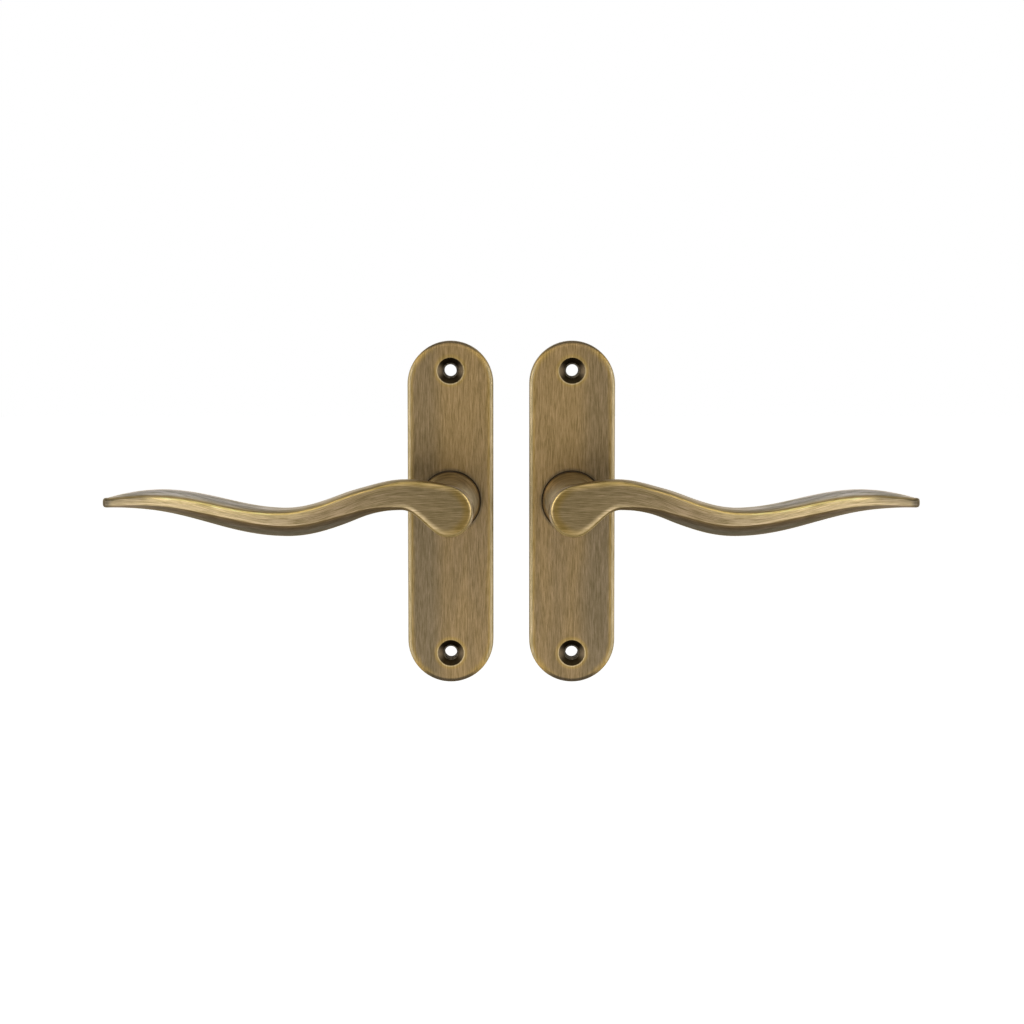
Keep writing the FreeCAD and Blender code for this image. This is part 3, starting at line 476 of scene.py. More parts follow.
# Adds a node; each input is either a value or another node's output.
def addNode(tree, kind, inputs=None, **settings):
    node = tree.nodes.new(kind)
    for key, value in settings.items():
        setattr(node, key, value)
    for key, value in (inputs or {}).items():
        if isinstance(value, bpy.types.NodeSocket):
            tree.links.new(value, node.inputs[key])
        else:
            node.inputs[key].default_value = value
    return node


def calc(tree, operation, first, second=0.0, third=0.0, clamp=False):
    inputs = {0: first, 1: second, 2: third}
    return addNode(tree, "ShaderNodeMath", inputs, operation=operation, use_clamp=clamp).outputs[0]


def product(tree, first, *others):
    for other in others:
        first = calc(tree, "MULTIPLY", first, other)
    return first


def absolute(tree, value):
    return calc(tree, "ABSOLUTE", value)


# Length of the way made of two steps at right angles.
def lengthOf(tree, first, second):
    return calc(tree, "SQRT", calc(tree, "MULTIPLY_ADD", first, first, product(tree, second, second)))


# Maps a value from one range to another, eased at both ends.
def fade(tree, value, start, end, low=0.0, high=1.0):
    inputs = {"Value": value, "From Min": start, "From Max": end, "To Min": low, "To Max": high}
    return addNode(tree, "ShaderNodeMapRange", inputs, interpolation_type="SMOOTHSTEP").outputs[0]


def blendColour(tree, share, first, second, mode="MIX"):
    inputs = {0: share, 6: first, 7: second}
    node = addNode(tree, "ShaderNodeMix", inputs, data_type="RGBA", blend_type=mode)
    return node.outputs[2]


def stretchedNoise(tree, vector, stretch, detail=2.0, roughness=0.5):
    scaled = addNode(tree, "ShaderNodeVectorMath", {0: vector, 1: stretch}, operation="MULTIPLY")
    inputs = {"Vector": scaled.outputs[0], "Scale": 1.0, "Detail": detail, "Roughness": roughness}
    return addNode(tree, "ShaderNodeTexNoise", inputs).outputs["Fac"]


def objectCoords(tree):
    return addNode(tree, "ShaderNodeTexCoord").outputs["Object"]


def layerValue(tree, name):
    return addNode(tree, "ShaderNodeAttribute", attribute_name=name).outputs["Fac"]


# Object coordinates, the three of them apart, and the millimetres outwards from the
# lever's axis.
def handleCoords(tree):
    coords = objectCoords(tree)
    axes = addNode(tree, "ShaderNodeSeparateXYZ", {0: coords}).outputs
    fromMiddle = product(tree, absolute(tree, axes[0]), perMetre)
    return coords, axes, calc(tree, "SUBTRACT", fromMiddle, axisSide)


def grey(value):
    return (value, value, value, 1.0)


# Closes a material: metal under a thin matt lacquer, with brushed relief.
def finishMetal(tree, colour, roughness, relief, strength, lacquer=0.0, metallic=1.0, specular=0.5):
    bump = addNode(tree, "ShaderNodeBump", {"Strength": strength, "Distance": 0.00002, "Height": relief})
    shader = addNode(tree, "ShaderNodeBsdfPrincipled", {
        "Base Color": colour,
        "Metallic": metallic,
        "Roughness": roughness,
        "Specular IOR Level": specular,
        "Specular Tint": (0.85, 0.72, 0.52, 1.0),
        "Coat Weight": lacquer,
        "Coat Roughness": 0.3,
        "Normal": bump.outputs[0],
    })
    output = addNode(tree, "ShaderNodeOutputMaterial")
    tree.links.new(shader.outputs[0], output.inputs[0])


# What the brass pieces have in common
brassLook = {
    "fineShare": 0.8,  # the rest of the streaks is broad
    "scratchDepth": 0.25,
    "warmerDark": 1.35,  # power that takes more blue than red from a dark streak
    "shadow": (0.018, 0.012, 0.005, 1.0),
    "roughness": 0.28,
    "streakRoughness": 0.16,
    "relief": 0.3,
    "lacquer": 0.06,
}


# Brushed brass: fine and broad streaks lighten and darken the ground colour, and
# the odd scratch darkens it more.
def brushedColour(tree, ground, fine, broad, scratch, amount):
    look = brassLook
    share = look["fineShare"]
    mixed = calc(tree, "MULTIPLY_ADD", fine, share, product(tree, broad, 1 - share))
    level = addNode(tree, "ShaderNodeMapRange", {
        "Value": mixed, "From Min": 0.3, "From Max": 0.7, "To Min": 1 - amount / 2, "To Max": 1 + amount / 2,
    }).outputs[0]
    level = product(tree, level, fade(tree, scratch, 0.56, 0.70, 1.0, 1 - look["scratchDepth"]))
    warm = calc(tree, "POWER", level, look["warmerDark"])
    tint = addNode(tree, "ShaderNodeCombineColor", {0: level, 1: level, 2: warm}).outputs[0]
    return blendColour(tree, 1.0, ground, tint, "MULTIPLY"), mixed


# Roughness that follows the streaks, from a value a little off the common one.
def brushedRoughness(tree, streaks, shift=0.0):
    return calc(tree, "MULTIPLY_ADD", streaks, brassLook["streakRoughness"], brassLook["roughness"] + shift)


# Colours at marks (value, colour), blended between one mark and the next.
def colourRamp(tree, value, marks):
    span = marks[-1][0]
    ramp = addNode(tree, "ShaderNodeValToRGB", {0: calc(tree, "DIVIDE", value, span)})
    ramp.color_ramp.interpolation = "EASE"
    elements = ramp.color_ramp.elements
    elements[0].position, elements[0].color = marks[0][0] / span, marks[0][1]
    elements[1].position, elements[1].color = 1.0, marks[-1][1]
    for mark, colour in marks[1:-1]:
        elements.new(mark / span).color = colour
    return ramp.outputs[0]


plateLook = {
    "halfWidth": 17.5,
    "endCentre": 52.5,
    "holeRise": 58.0,
    "holeMouth": 5.4,
    "ringRadius": 12.5,
    "wall": 1.7,
    "fineGrain": (3600.0, 3300.0, 190.0),
    "wallGrain": (260.0, 2600.0, 260.0),
    "broadGrain": (1100.0, 1000.0, 55.0),
    "cloudGrain": (95.0, 60.0, 16.0),
    "scratchGrain": (3200.0, 2900.0, 90.0),
    "castGrain": (900.0, 900.0, 900.0),
    "streaks": 1.15,
    "ground": (0.238, 0.166, 0.082, 1.0),
    # Warm clouds, and painted light on the upper half
    "groundWarm": (0.312, 0.209, 0.090, 1.0),
    # Painted shade towards the outer sides
    "groundOuterShade": (0.190, 0.142, 0.080, 1.0),
    # Worn, and painted highlight, along the sides and round the holes
    "rubbedAndLit": (0.37, 0.245, 0.072, 1.0),
    "sideStripHighlight": (0.355, 0.282, 0.158, 1.0),
    # Painted shade at the outline's ends, on the walls and round the neck; underside darker still below
    "outline": (0.115, 0.090, 0.055, 1.0),
    "underside": (0.050, 0.038, 0.023, 1.0),
    "sideWall": (0.235, 0.185, 0.110, 1.0),
    # Worn lip with a painted highlight
    "lipWearAndHighlight": (0.52, 0.40, 0.21, 1.0),
    "pitReflection": (0.270, 0.205, 0.125, 1.0),
    "pitLowerReflection": (0.050, 0.034, 0.014, 1.0),
    "casting": (0.19, 0.16, 0.115, 1.0),
    "castingDark": (0.06, 0.05, 0.035, 1.0),
}


# Plates: brushed upright, worn and with a painted highlight along the sides and round
# the holes, painted shade at the ends and outer sides, nearly black in the countersinks,
# dull casting inside.
def makePlateMaterial():
    look = plateLook
    material = newMaterial("antiqueBrassPlate")
    tree = material.node_tree
    coords, axes, x = handleCoords(tree)

    # In millimetres: in from the outline, out from a hole's mouth, up from the lever's axis,
    # and depth, the distance in front of the door
    z = product(tree, absolute(tree, axes[2]), perMetre)
    depth = product(tree, axes[1], -perMetre)
    rise = calc(tree, "MAXIMUM", calc(tree, "SUBTRACT", z, look["endCentre"]), 0.0)
    reach = lengthOf(tree, rise, x)
    inside = calc(tree, "SUBTRACT", look["halfWidth"], reach)
    toHole = calc(tree, "SUBTRACT", z, look["holeRise"])
    holeReach = lengthOf(tree, toHole, x)
    fromHole = calc(tree, "SUBTRACT", holeReach, look["holeMouth"])
    fromAxis = calc(tree, "MULTIPLY_ADD", axes[2], perMetre, -axisHeight)

    # sideways is 1 at the outline's sides, upright is 1 straight above a hole and -1 below it
    sideways = calc(tree, "DIVIDE", absolute(tree, x), calc(tree, "MAXIMUM", reach, 0.1))
    below = calc(tree, "LESS_THAN", axes[2], 0.0)
    upright = product(tree, toHole, calc(tree, "MULTIPLY_ADD", below, -2.0, 1.0))
    upright = calc(tree, "DIVIDE", upright, calc(tree, "MAXIMUM", holeReach, 0.1))

    # Brushed upright, and along the wall on the walls
    wall = product(tree, fade(tree, inside, 0.35, 0.12), fade(tree, depth, 8.2, 7.6))
    fine = stretchedNoise(tree, coords, look["fineGrain"], 5.0, 0.72)
    onWall = stretchedNoise(tree, coords, look["wallGrain"], 3.0)
    fine = calc(tree, "MULTIPLY_ADD", wall, calc(tree, "SUBTRACT", onWall, fine), fine)
    broad = stretchedNoise(tree, coords, look["broadGrain"], 2.0)
    scratch = stretchedNoise(tree, coords, look["scratchGrain"], 3.0, 0.6)

    # Ground: warmer in clouds; painted light makes the upper half warmer and lighter, and painted shade the
    # outer sides duller and greyer
    cloud = stretchedNoise(tree, coords, look["cloudGrain"], 2.0)
    upperHalfLight = fade(tree, fromAxis, 0.0, 22.0)
    warmthAndTopLight = calc(tree, "ADD", fade(tree, cloud, 0.35, 0.65, 0.0, 0.6), product(tree, upperHalfLight, 0.75))
    ground = blendColour(tree, warmthAndTopLight, look["ground"], look["groundWarm"])
    # Painted shade towards the outer side, weaker on the upper half
    outerShade = product(tree, fade(tree, x, 1.0, 9.0, 0.0, 0.9), fade(tree, fromAxis, 0.0, 22.0, 1.0, 0.6))
    ground = blendColour(tree, outerShade, ground, look["groundOuterShade"])

    # Worn sides with a painted highlight, and a worn ring and a light lip round each hole, partly painted
    # highlight
    wavy = product(tree, calc(tree, "SUBTRACT", broad, 0.5), 2.4)
    rubAndHighlight = fade(tree, calc(tree, "ADD", inside, wavy), 0.8, 3.4, 0.8, 0.0)
    ground = blendColour(tree, product(tree, rubAndHighlight, fade(tree, sideways, 0.25, 0.75)), ground, look["rubbedAndLit"])
    ground = blendColour(tree, fade(tree, fromHole, 0.2, 2.0, 0.75, 0.0), ground, look["rubbedAndLit"])
    # The lip: a worn rim with a painted highlight, brightest below and beside each hole
    lipWearAndHighlight = fade(tree, absolute(tree, calc(tree, "SUBTRACT", fromHole, 0.1)), 0.1, 0.4)
    lipWearAndHighlight = product(tree, calc(tree, "SUBTRACT", 1.0, lipWearAndHighlight), fade(tree, upright, 0.7, 0.1, 0.2, 0.9))
    ground = blendColour(tree, lipWearAndHighlight, ground, look["lipWearAndHighlight"])

    # The outline: a painted highlight strip at the sides, painted shade at the ends, reaching further in and
    # darker at the bottom, and the walls behind it, painted dark at the ends and lighter at the sides
    rim = product(tree, fade(tree, inside, 1.1, 1.7, 0.95, 0.0), fade(tree, sideways, 0.78, 0.98))
    ground = blendColour(tree, rim, ground, look["sideStripHighlight"])
    reachIn = calc(tree, "SUBTRACT", inside, product(tree, below, 0.75))
    # Painted shade at the ends, reaching further in at the bottom
    endShade = product(tree, fade(tree, reachIn, 0.3, 1.0, 0.9, 0.0), fade(tree, sideways, 0.85, 0.4))
    ground = blendColour(tree, endShade, ground, blendColour(tree, below, look["outline"], look["underside"]))
    wallLitAndShaded = blendColour(tree, fade(tree, sideways, 0.5, 0.95), look["outline"], look["sideWall"])
    ground = blendColour(tree, wall, ground, wallLitAndShaded)

    # A soft shade round the lever's neck
    fromRing = calc(tree, "SUBTRACT", lengthOf(tree, fromAxis, x), look["ringRadius"])
    ground = blendColour(tree, fade(tree, fromRing, 0.1, 1.4, 0.6, 0.0), ground, look["outline"])
    colour, streaks = brushedColour(tree, ground, fine, broad, scratch, look["streaks"])

    # Countersinks: dark patina, darkest above; a painted reflection lighter below and a light patch on either
    # side
    pitReflectionShare = fade(tree, absolute(tree, upright), 0.75, 0.05)
    pitReflectionShare = product(tree, pitReflectionShare, fade(tree, fromHole, -2.7, -1.6))
    pitColour = blendColour(tree, fade(tree, upright, -0.2, -0.9), brassLook["shadow"], look["pitLowerReflection"])
    pitColour = blendColour(tree, pitReflectionShare, pitColour, look["pitReflection"])
    colour = blendColour(tree, fade(tree, fromHole, 0.05, -0.3), colour, pitColour)

    # The hollow back
    inner = calc(tree, "GREATER_THAN", inside, look["wall"])
    inner = product(tree, inner, fade(tree, depth, 6.9, 6.6))
    speckle = stretchedNoise(tree, coords, look["castGrain"], 4.0)
    castGround = blendColour(tree, fade(tree, speckle, 0.35, 0.7), look["casting"], look["castingDark"])
    colour = blendColour(tree, inner, colour, castGround)

    roughness = calc(tree, "MULTIPLY_ADD", inner, 0.2, brushedRoughness(tree, streaks))
    roughness = calc(tree, "ADD", fade(tree, inside, 1.2, 2.2, 0.18, 0.0), roughness)
    roughness = calc(tree, "MULTIPLY_ADD", fade(tree, fromHole, -2.2, -2.8), 0.5, roughness)
    relief = blendColour(tree, inner, streaks, speckle)
    finishMetal(tree, colour, roughness, relief, brassLook["relief"], brassLook["lacquer"])
    return material


# Marks are millimetres along the lever, or past the face's edge on the flanks
leverLook = {
    "fineGrain": (0.13, 3.7, 1.0),
    "broadGrain": (0.04, 0.7, 1.0),
    "scratchGrain": (0.10, 2.8, 1.0),
    "streaks": 1.55,
    # Face colour along the lever, lighter towards the grip's end from wear and painted reflection
    "face": [
        (0, (0.198, 0.144, 0.068, 1.0)), (24, (0.228, 0.167, 0.084, 1.0)),
        (48, (0.285, 0.208, 0.111, 1.0)), (67, (0.375, 0.285, 0.158, 1.0)),
        (91, (0.460, 0.350, 0.185, 1.0)), (116, (0.500, 0.386, 0.216, 1.0)),
        (126, (0.400, 0.310, 0.180, 1.0)), (131.5, (0.300, 0.235, 0.130, 1.0)),
        (134, (0.130, 0.105, 0.065, 1.0)), (136.5, (0.090, 0.072, 0.048, 1.0)),
    ],
    # Worn edge, partly painted highlight
    "faceEdge": [
        (0, (0.335, 0.236, 0.100, 1.0)), (18, (0.390, 0.275, 0.110, 1.0)),
        (32, (0.385, 0.272, 0.112, 1.0)), (60, (0.420, 0.305, 0.140, 1.0)),
        (91, (0.500, 0.380, 0.180, 1.0)), (128, (0.420, 0.330, 0.180, 1.0)),
        (134, (0.130, 0.105, 0.065, 1.0)),
    ],
    "lowerEdgeHighlight": [
        (0, (0.29, 0.205, 0.085, 1.0)), (6, (0.42, 0.315, 0.165, 1.0)),
        (20, (0.46, 0.35, 0.20, 1.0)), (32, (0.36, 0.26, 0.13, 1.0)),
    ],
    # Upper flank: golden at the face, then a painted reflection, greyer outwards
    "flankUpperLit": [
        (0, (0.35, 0.245, 0.092, 1.0)), (0.5, (0.36, 0.265, 0.120, 1.0)),
        (1.3, (0.38, 0.310, 0.195, 1.0)), (3.2, (0.47, 0.430, 0.37, 1.0)),
    ],
    # Lower flank: painted shade
    "flankLowerShaded": [
        (0, (0.120, 0.078, 0.032, 1.0)), (1.8, (0.080, 0.057, 0.032, 1.0)),
        (4.2, (0.090, 0.078, 0.056, 1.0)),
    ],
    "flankTipReflection": (0.62, 0.57, 0.50, 1.0),
    "sheen": [(0, 0.15), (32, 0.35), (55, 0.6), (85, 0.5), (112, 0.42), (122, 0.0), (134, 0.0)],
    "edgeHighlightLine": 0.8,
    "tipShade": 0.12,
    "headEnd": (0.200, 0.132, 0.038, 1.0),
    "headEdgeHighlight": (0.28, 0.200, 0.088, 1.0),
    "headTop": (0.16, 0.100, 0.030, 1.0),
    "headGapShade": (0.170, 0.125, 0.060, 1.0),
    "headWallReflection": (0.310, 0.245, 0.160, 1.0),
    "headUnder": (0.230, 0.165, 0.065, 1.0),
    "tip": (0.085, 0.068, 0.045, 1.0),
    "back": (0.17, 0.130, 0.075, 1.0),
}


# Levers: brushed along the lever on the face, worn and with painted highlights along its edges,
# a painted reflection greyer on the upper flank and painted shade darker below.
def makeLeverMaterial():
    look = leverLook
    material = newMaterial("antiqueBrassLever")
    tree = material.node_tree
    brush = addNode(tree, "ShaderNodeUVMap", uv_map="brush").outputs[0]
    fromEdge, upward, lengthAt = (layerValue(tree, name) for name in ("fromEdge", "upward", "lengthAt"))
    past = product(tree, fromEdge, -1.0)
    upper = fade(tree, upward, -0.1, 0.6)
    lower = fade(tree, upward, 0.1, -0.6)

    fine = stretchedNoise(tree, brush, look["fineGrain"], 5.0, 0.68)
    broad = stretchedNoise(tree, brush, look["broadGrain"], 2.0)
    scratch = stretchedNoise(tree, brush, look["scratchGrain"], 3.0, 0.6)
    # Ground along the face: dark on the head, lighter towards the grip's end from wear and painted
    # reflection, dark again at the tip
    ground = colourRamp(tree, lengthAt, look["face"])

    # Along the face's edges: a broad golden band on the head, a narrow one on the grip, worn and partly
    # painted highlight along the upper edge, a painted highlight along the lower edge near the head
    onHead = fade(tree, lengthAt, 30.0, 6.0)
    wavy = product(tree, calc(tree, "SUBTRACT", broad, 0.5), 0.8)
    bandWidth = calc(tree, "MULTIPLY_ADD", onHead, 1.5, 0.9)
    inward = calc(tree, "DIVIDE", calc(tree, "MULTIPLY_ADD", wavy, onHead, fromEdge), bandWidth)
    band = fade(tree, inward, 0.35, 1.1, 1.0, 0.0)
    upperBandAndHighlight = product(tree, band, upper, fade(tree, lengthAt, -4.0, 2.0, 0.35, 1.0))
    lowerHighlight = product(tree, band, lower, fade(tree, lengthAt, 27.0, 12.0))
    ground = blendColour(tree, upperBandAndHighlight, ground, colourRamp(tree, lengthAt, look["faceEdge"]))
    ground = blendColour(tree, lowerHighlight, ground, colourRamp(tree, lengthAt, look["lowerEdgeHighlight"]))

    # The head's round end: darker towards its edge, with a painted highlight as a fine line on the edge
    # itself
    atEnd = product(tree, fade(tree, fromEdge, 4.5, 1.5), fade(tree, lengthAt, 1.0, -5.0))
    ground = blendColour(tree, atEnd, ground, look["headEnd"])
    # Painted highlight: a fine line along the head's edge
    headEdgeHighlight = product(tree, fade(tree, fromEdge, 1.15, 0.25), fade(tree, lengthAt, 4.0, -3.0))
    headEdgeHighlight = product(tree, headEdgeHighlight, fade(tree, upward, -0.8, 0.0, 0.15, 1.0))
    ground = blendColour(tree, headEdgeHighlight, ground, look["headEdgeHighlight"])

    # Painted sheen: the grip's face is painted brightest along its upper edge, with a painted highlight line
    # there, and painted shade at the tip
    weight = colourRamp(tree, lengthAt, [(mark, grey(value)) for mark, value in look["sheen"]])
    sheen = product(tree, fade(tree, fromEdge, 3.6, 0.0), upper, weight)
    fromLine = absolute(tree, calc(tree, "SUBTRACT", fromEdge, 0.2))
    onGrip = product(tree, fade(tree, lengthAt, 20.0, 60.0, 0.5, 1.0), fade(tree, lengthAt, 122.0, 112.0))
    edgeHighlightLine = product(tree, fade(tree, fromLine, 0.75, 0.15), upper, onGrip, look["edgeHighlightLine"])
    tipShade = product(tree, fade(tree, fromEdge, 3.0, 0.5), fade(tree, lengthAt, 110.0, 121.0))
    tipShade = product(tree, tipShade, upper, look["tipShade"])
    bright = calc(tree, "ADD", calc(tree, "ADD", sheen, edgeHighlightLine), 1.0)
    bright = calc(tree, "SUBTRACT", bright, tipShade)
    golden = calc(tree, "POWER", bright, 0.75)
    tint = addNode(tree, "ShaderNodeCombineColor", {0: bright, 1: bright, 2: golden}).outputs[0]
    ground = blendColour(tree, 1.0, ground, tint, "MULTIPLY")

    # Flanks: painted shade below, deepest near the head, and a painted reflection above, greyer outwards and
    # paler towards the tip; the upper flank is darker near the head
    lowerShadeNearHead = fade(tree, lengthAt, 60.0, 30.0, 0.0, 0.35)
    below = blendColour(tree, lowerShadeNearHead, colourRamp(tree, past, look["flankLowerShaded"]), brassLook["shadow"])
    below = blendColour(tree, fade(tree, lengthAt, 92.0, 125.0, 0.0, 0.1), below, look["flankTipReflection"])
    below = blendColour(tree, fade(tree, lengthAt, 20.0, 8.0), below, look["headUnder"])
    nearHead = fade(tree, lengthAt, 20.0, 7.0, 0.0, 0.85)
    above = blendColour(tree, nearHead, colourRamp(tree, past, look["flankUpperLit"]), look["headTop"])
    paleReflection = product(tree, fade(tree, lengthAt, 76.0, 112.0, 0.0, 0.85), fade(tree, past, 0.6, 2.0))
    above = blendColour(tree, paleReflection, above, look["flankTipReflection"])
    flank = blendColour(tree, upper, below, above)

    # Tip, the head's round wall with painted shade next to the face's edge and a paler painted reflection
    # behind it, and the back
    flank = blendColour(tree, fade(tree, lengthAt, 132.5, 135.0, 0.0, 0.9), flank, look["tip"])
    wall = blendColour(tree, fade(tree, past, 0.3, 0.8), look["headGapShade"], look["headWallReflection"])
    wall = blendColour(tree, fade(tree, upward, -0.3, -0.75), wall, look["headUnder"])
    flank = blendColour(tree, fade(tree, lengthAt, 3.0, -3.0), flank, wall)
    flank = blendColour(tree, fade(tree, past, 5.5, 8.0), flank, look["back"])
    ground = blendColour(tree, fade(tree, fromEdge, 0.12, -0.12), ground, flank)

    colour, streaks = brushedColour(tree, ground, fine, broad, scratch, look["streaks"])
    roughness = brushedRoughness(tree, streaks)
    finishMetal(tree, colour, roughness, streaks, brassLook["relief"], brassLook["lacquer"])
    return material


neckLook = {
    "fineGrain": (130.0, 1500.0, 130.0),
    "broadGrain": (120.0, 450.0, 120.0),
    "scratchGrain": (110.0, 2600.0, 110.0),
    "streaks": 1.05,
    "brown": (0.360, 0.295, 0.165, 1.0),
    "olive": (0.560, 0.490, 0.310, 1.0),
    # inner is a painted reflection, rim a painted shade
    "inner": (0.440, 0.415, 0.340, 1.0),
    "rim": (0.110, 0.075, 0.030, 1.0),
}


# Necks: turned, mottled brown and olive, a painted reflection greyer inwards and painted shade dark on the
# rim.
def makeNeckMaterial():
    look = neckLook
    material = newMaterial("antiqueBrassNeck")
    tree = material.node_tree
    coords, axes, x = handleCoords(tree)
    fromRim = layerValue(tree, "fromEdge")
    fine = stretchedNoise(tree, coords, look["fineGrain"], 4.0, 0.65)
    broad = stretchedNoise(tree, coords, look["broadGrain"], 2.0)
    scratch = stretchedNoise(tree, coords, look["scratchGrain"], 3.0, 0.6)
    ground = blendColour(tree, fade(tree, broad, 0.25, 0.75), look["brown"], look["olive"])
    # Painted reflection: greyer towards the middle of the set
    ground = blendColour(tree, fade(tree, x, -1.0, -9.0, 0.0, 0.6), ground, look["inner"])
    # Painted shade: dark on the rim
    ground = blendColour(tree, fade(tree, fromRim, 0.1, 0.55, 0.85, 0.0), ground, look["rim"])
    colour, streaks = brushedColour(tree, ground, fine, broad, scratch, look["streaks"])
    roughness = brushedRoughness(tree, streaks, 0.03)
    finishMetal(tree, colour, roughness, streaks, brassLook["relief"], brassLook["lacquer"])
    return material


# Ground colours, roughness, stretch of the fine scratches and scale of the mottling
steelLooks = {
    "blackened_steel": {
        "name": "blackenedSteel", "light": (0.075, 0.077, 0.082, 1), "dark": (0.032, 0.033, 0.036, 1),
        "roughness": 0.42, "grain": (700.0, 700.0, 700.0), "mottle": 260.0,
    },
    "zinc_plated_steel": {
        "name": "zincPlatedSteel", "light": (0.66, 0.67, 0.69, 1), "dark": (0.47, 0.48, 0.50, 1),
        "roughness": 0.34, "grain": (1800.0, 60.0, 60.0), "mottle": 160.0,
    },
    "spring_steel": {
        "name": "springSteel", "light": (0.36, 0.35, 0.34, 1), "dark": (0.20, 0.19, 0.18, 1),
        "roughness": 0.3, "grain": (1200.0, 1200.0, 1200.0), "mottle": 400.0,
    },
    "bright_steel": {
        "name": "brightSteel", "light": (0.60, 0.61, 0.62, 1), "dark": (0.42, 0.43, 0.44, 1),
        "roughness": 0.3, "grain": (1800.0, 30.0, 1800.0), "mottle": 120.0,
    },
}


# Plain metals of the inner pieces: ground colour with mottling and fine scratches.
def makeSteelMaterial(look):
    material = newMaterial(look["name"])
    tree = material.node_tree
    coords = objectCoords(tree)
    spots = stretchedNoise(tree, coords, (look["mottle"],) * 3, 4.0)
    scratches = stretchedNoise(tree, coords, look["grain"], 3.0, 0.6)
    mixed = calc(tree, "MULTIPLY_ADD", spots, 0.6, product(tree, scratches, 0.4))
    colour = blendColour(tree, fade(tree, mixed, 0.35, 0.65), look["dark"], look["light"])
    level = calc(tree, "MULTIPLY_ADD", mixed, 0.2, look["roughness"] - 0.1)
    finishMetal(tree, colour, level, mixed, 0.25)
    return material


nylonLook = {
    "dark": (0.016, 0.011, 0.006, 1),
    "light": (0.030, 0.021, 0.012, 1),
    "grain": (1500.0, 1500.0, 1500.0),
    "cloud": (180.0, 180.0, 180.0),
}


# Dark nylon of the neck bushes: moulded grain, slightly clouded.
def makeNylonMaterial():
    look = nylonLook
    material = newMaterial("darkNylon")
    tree = material.node_tree
    coords = objectCoords(tree)
    grain = stretchedNoise(tree, coords, look["grain"], 3.0)
    cloud = stretchedNoise(tree, coords, look["cloud"], 2.0)
    colour = blendColour(tree, fade(tree, cloud, 0.3, 0.7), look["dark"], look["light"])
    level = calc(tree, "MULTIPLY_ADD", grain, 0.2, 0.6)
    finishMetal(tree, colour, level, grain, 0.3, metallic=0.0, specular=0.2)
    return material


materials = {"antique_brass_plate": makePlateMaterial(), "dark_nylon": makeNylonMaterial()}
for slotName, look in steelLooks.items():
    materials[slotName] = makeSteelMaterial(look)
for part in frame["record"]["subparts"]:
    if part["material_slot"] in materials:
        for materialSlot in nodes[part["node"]].material_slots:
            materialSlot.material = materials[part["material_slot"]]
leverMaterials = (makeLeverMaterial(), makeNeckMaterial())
for pair in levers.values():
    for piece, material in zip(pair, leverMaterials):
        piece.data.materials.clear()
        piece.data.materials.append(material)
print("materials made:", len(materials) + len(leverMaterials))


# Stage, light and camera

stageLook = {
    "floorHeight": -0.30,
    "floorHalf": 6.0,
    "floorColour": (0.80, 0.80, 0.79, 1.0),
    "floorGlow": 0.62,
    "around": 0.5,
    "aside": 0.45,
    "overhead": -0.25,
    "leftLampPower": 9.5,
    "rightLampPower": 8.0,
    "topLampPower": 2.0,
    "lampsFrom": (1.0, -0.9, 0.25),
    "topFrom": (0.0, -0.3, 1.3),
}


# Floor: a pale matt plane; seen directly or in a reflection it glows to white,
# and the object's shadow stays on it.
def makeFloor():
    half, height = stageLook["floorHalf"], stageLook["floorHeight"]
    mesh = bpy.data.meshes.new("floor")
    around = ((-half, -half), (half, -half), (half, half), (-half, half))
    mesh.from_pydata([(x, y, height) for x, y in around], [], [(0, 1, 2, 3)])
    floor = bpy.data.objects.new("floor", mesh)
    bpy.context.scene.collection.objects.link(floor)
    material = newMaterial("paleFloor")
    tree = material.node_tree
    path = addNode(tree, "ShaderNodeLightPath")
    seen = calc(tree, "ADD", path.outputs["Is Camera Ray"], path.outputs["Is Glossy Ray"], clamp=True)
    seen = calc(tree, "ADD", seen, path.outputs["Is Transmission Ray"], clamp=True)
    matt = addNode(tree, "ShaderNodeBsdfDiffuse", {0: stageLook["floorColour"]})
    glow = addNode(tree, "ShaderNodeEmission", {0: grey(1.0), 1: product(tree, seen, stageLook["floorGlow"])})
    both = addNode(tree, "ShaderNodeAddShader", {0: matt.outputs[0], 1: glow.outputs[0]})
    output = addNode(tree, "ShaderNodeOutputMaterial")
    tree.links.new(both.outputs[0], output.inputs[0])
    mesh.materials.append(material)


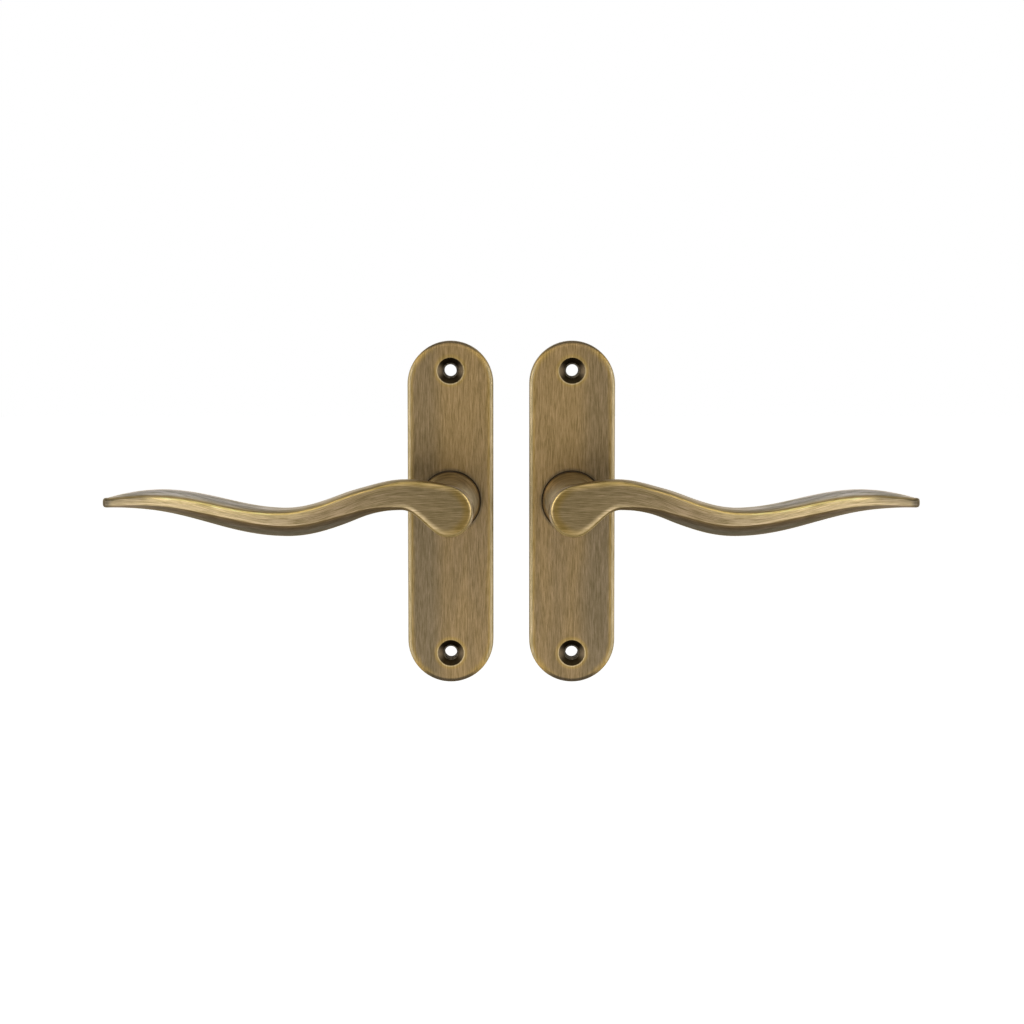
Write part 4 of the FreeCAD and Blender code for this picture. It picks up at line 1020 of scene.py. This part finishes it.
# World: a pale room, lighter to the sides and darker overhead and below; white
# where it is seen directly, and behind the object in reflections.
def makeWorld():
    look = stageLook
    world = bpy.data.worlds.new("studio")
    bpy.context.scene.world = world
    world.use_nodes = True
    tree = world.node_tree
    tree.nodes.clear()
    path = addNode(tree, "ShaderNodeLightPath")
    direction = addNode(tree, "ShaderNodeTexCoord").outputs["Generated"]
    parts = addNode(tree, "ShaderNodeSeparateXYZ", {0: direction})
    aside = fade(tree, absolute(tree, parts.outputs[0]), 0.35, 0.85, 0.0, look["aside"])
    overhead = fade(tree, absolute(tree, parts.outputs[2]), 0.45, 0.9, 0.0, look["overhead"])
    room = calc(tree, "ADD", calc(tree, "ADD", aside, overhead), look["around"])
    behind = fade(tree, parts.outputs[1], 0.1, 0.7)
    glossy, through = path.outputs["Is Glossy Ray"], path.outputs["Is Transmission Ray"]
    mirrored = calc(tree, "ADD", glossy, through, clamp=True)
    white = calc(tree, "MAXIMUM", path.outputs["Is Camera Ray"], product(tree, mirrored, behind))
    strength = calc(tree, "MAXIMUM", room, white)
    background = addNode(tree, "ShaderNodeBackground", {0: grey(1.0), 1: strength})
    output = addNode(tree, "ShaderNodeOutputWorld")
    tree.links.new(background.outputs[0], output.inputs[0])


# A rectangular lamp that points at the middle of the set.
def addSoftLamp(name, place, width, height, power):
    lamp = bpy.data.lights.new(name, "AREA")
    lamp.shape = "RECTANGLE"
    lamp.size = width
    lamp.size_y = height
    lamp.energy = power
    holder = bpy.data.objects.new(name, lamp)
    bpy.context.scene.collection.objects.link(holder)
    holder.location = place
    holder.rotation_euler = (-Vector(place)).to_track_quat("-Z", "Y").to_euler()


makeFloor()
makeWorld()
outX, outY, outZ = stageLook["lampsFrom"]
addSoftLamp("leftLamp", (-outX, outY, outZ), 0.7, 1.1, stageLook["leftLampPower"])
addSoftLamp("rightLamp", (outX, outY, outZ), 0.7, 1.1, stageLook["rightLampPower"])
addSoftLamp("topLamp", stageLook["topFrom"], 1.2, 0.7, stageLook["topLampPower"])

cameraLook = {
    "target": (0.00029, -0.009, 0.0002),
    "distance": 1.138,
    "elevation": 5.2,
    "lens": 97.75,
}
elevation = math.radians(cameraLook["elevation"])
forward = Vector((0.0, math.cos(elevation), -math.sin(elevation)))
camera = bpy.data.objects.new("camera", bpy.data.cameras.new("camera"))
camera.data.lens = cameraLook["lens"]
camera.data.sensor_width = 36.0
camera.data.clip_start = 0.02
camera.location = Vector(cameraLook["target"]) - forward * cameraLook["distance"]
camera.rotation_euler = forward.to_track_quat("-Z", "Y").to_euler()
bpy.context.scene.collection.objects.link(camera)
bpy.context.scene.camera = camera
bpy.context.scene.view_settings.view_transform = "Standard"
print("stage, lamps and camera set")
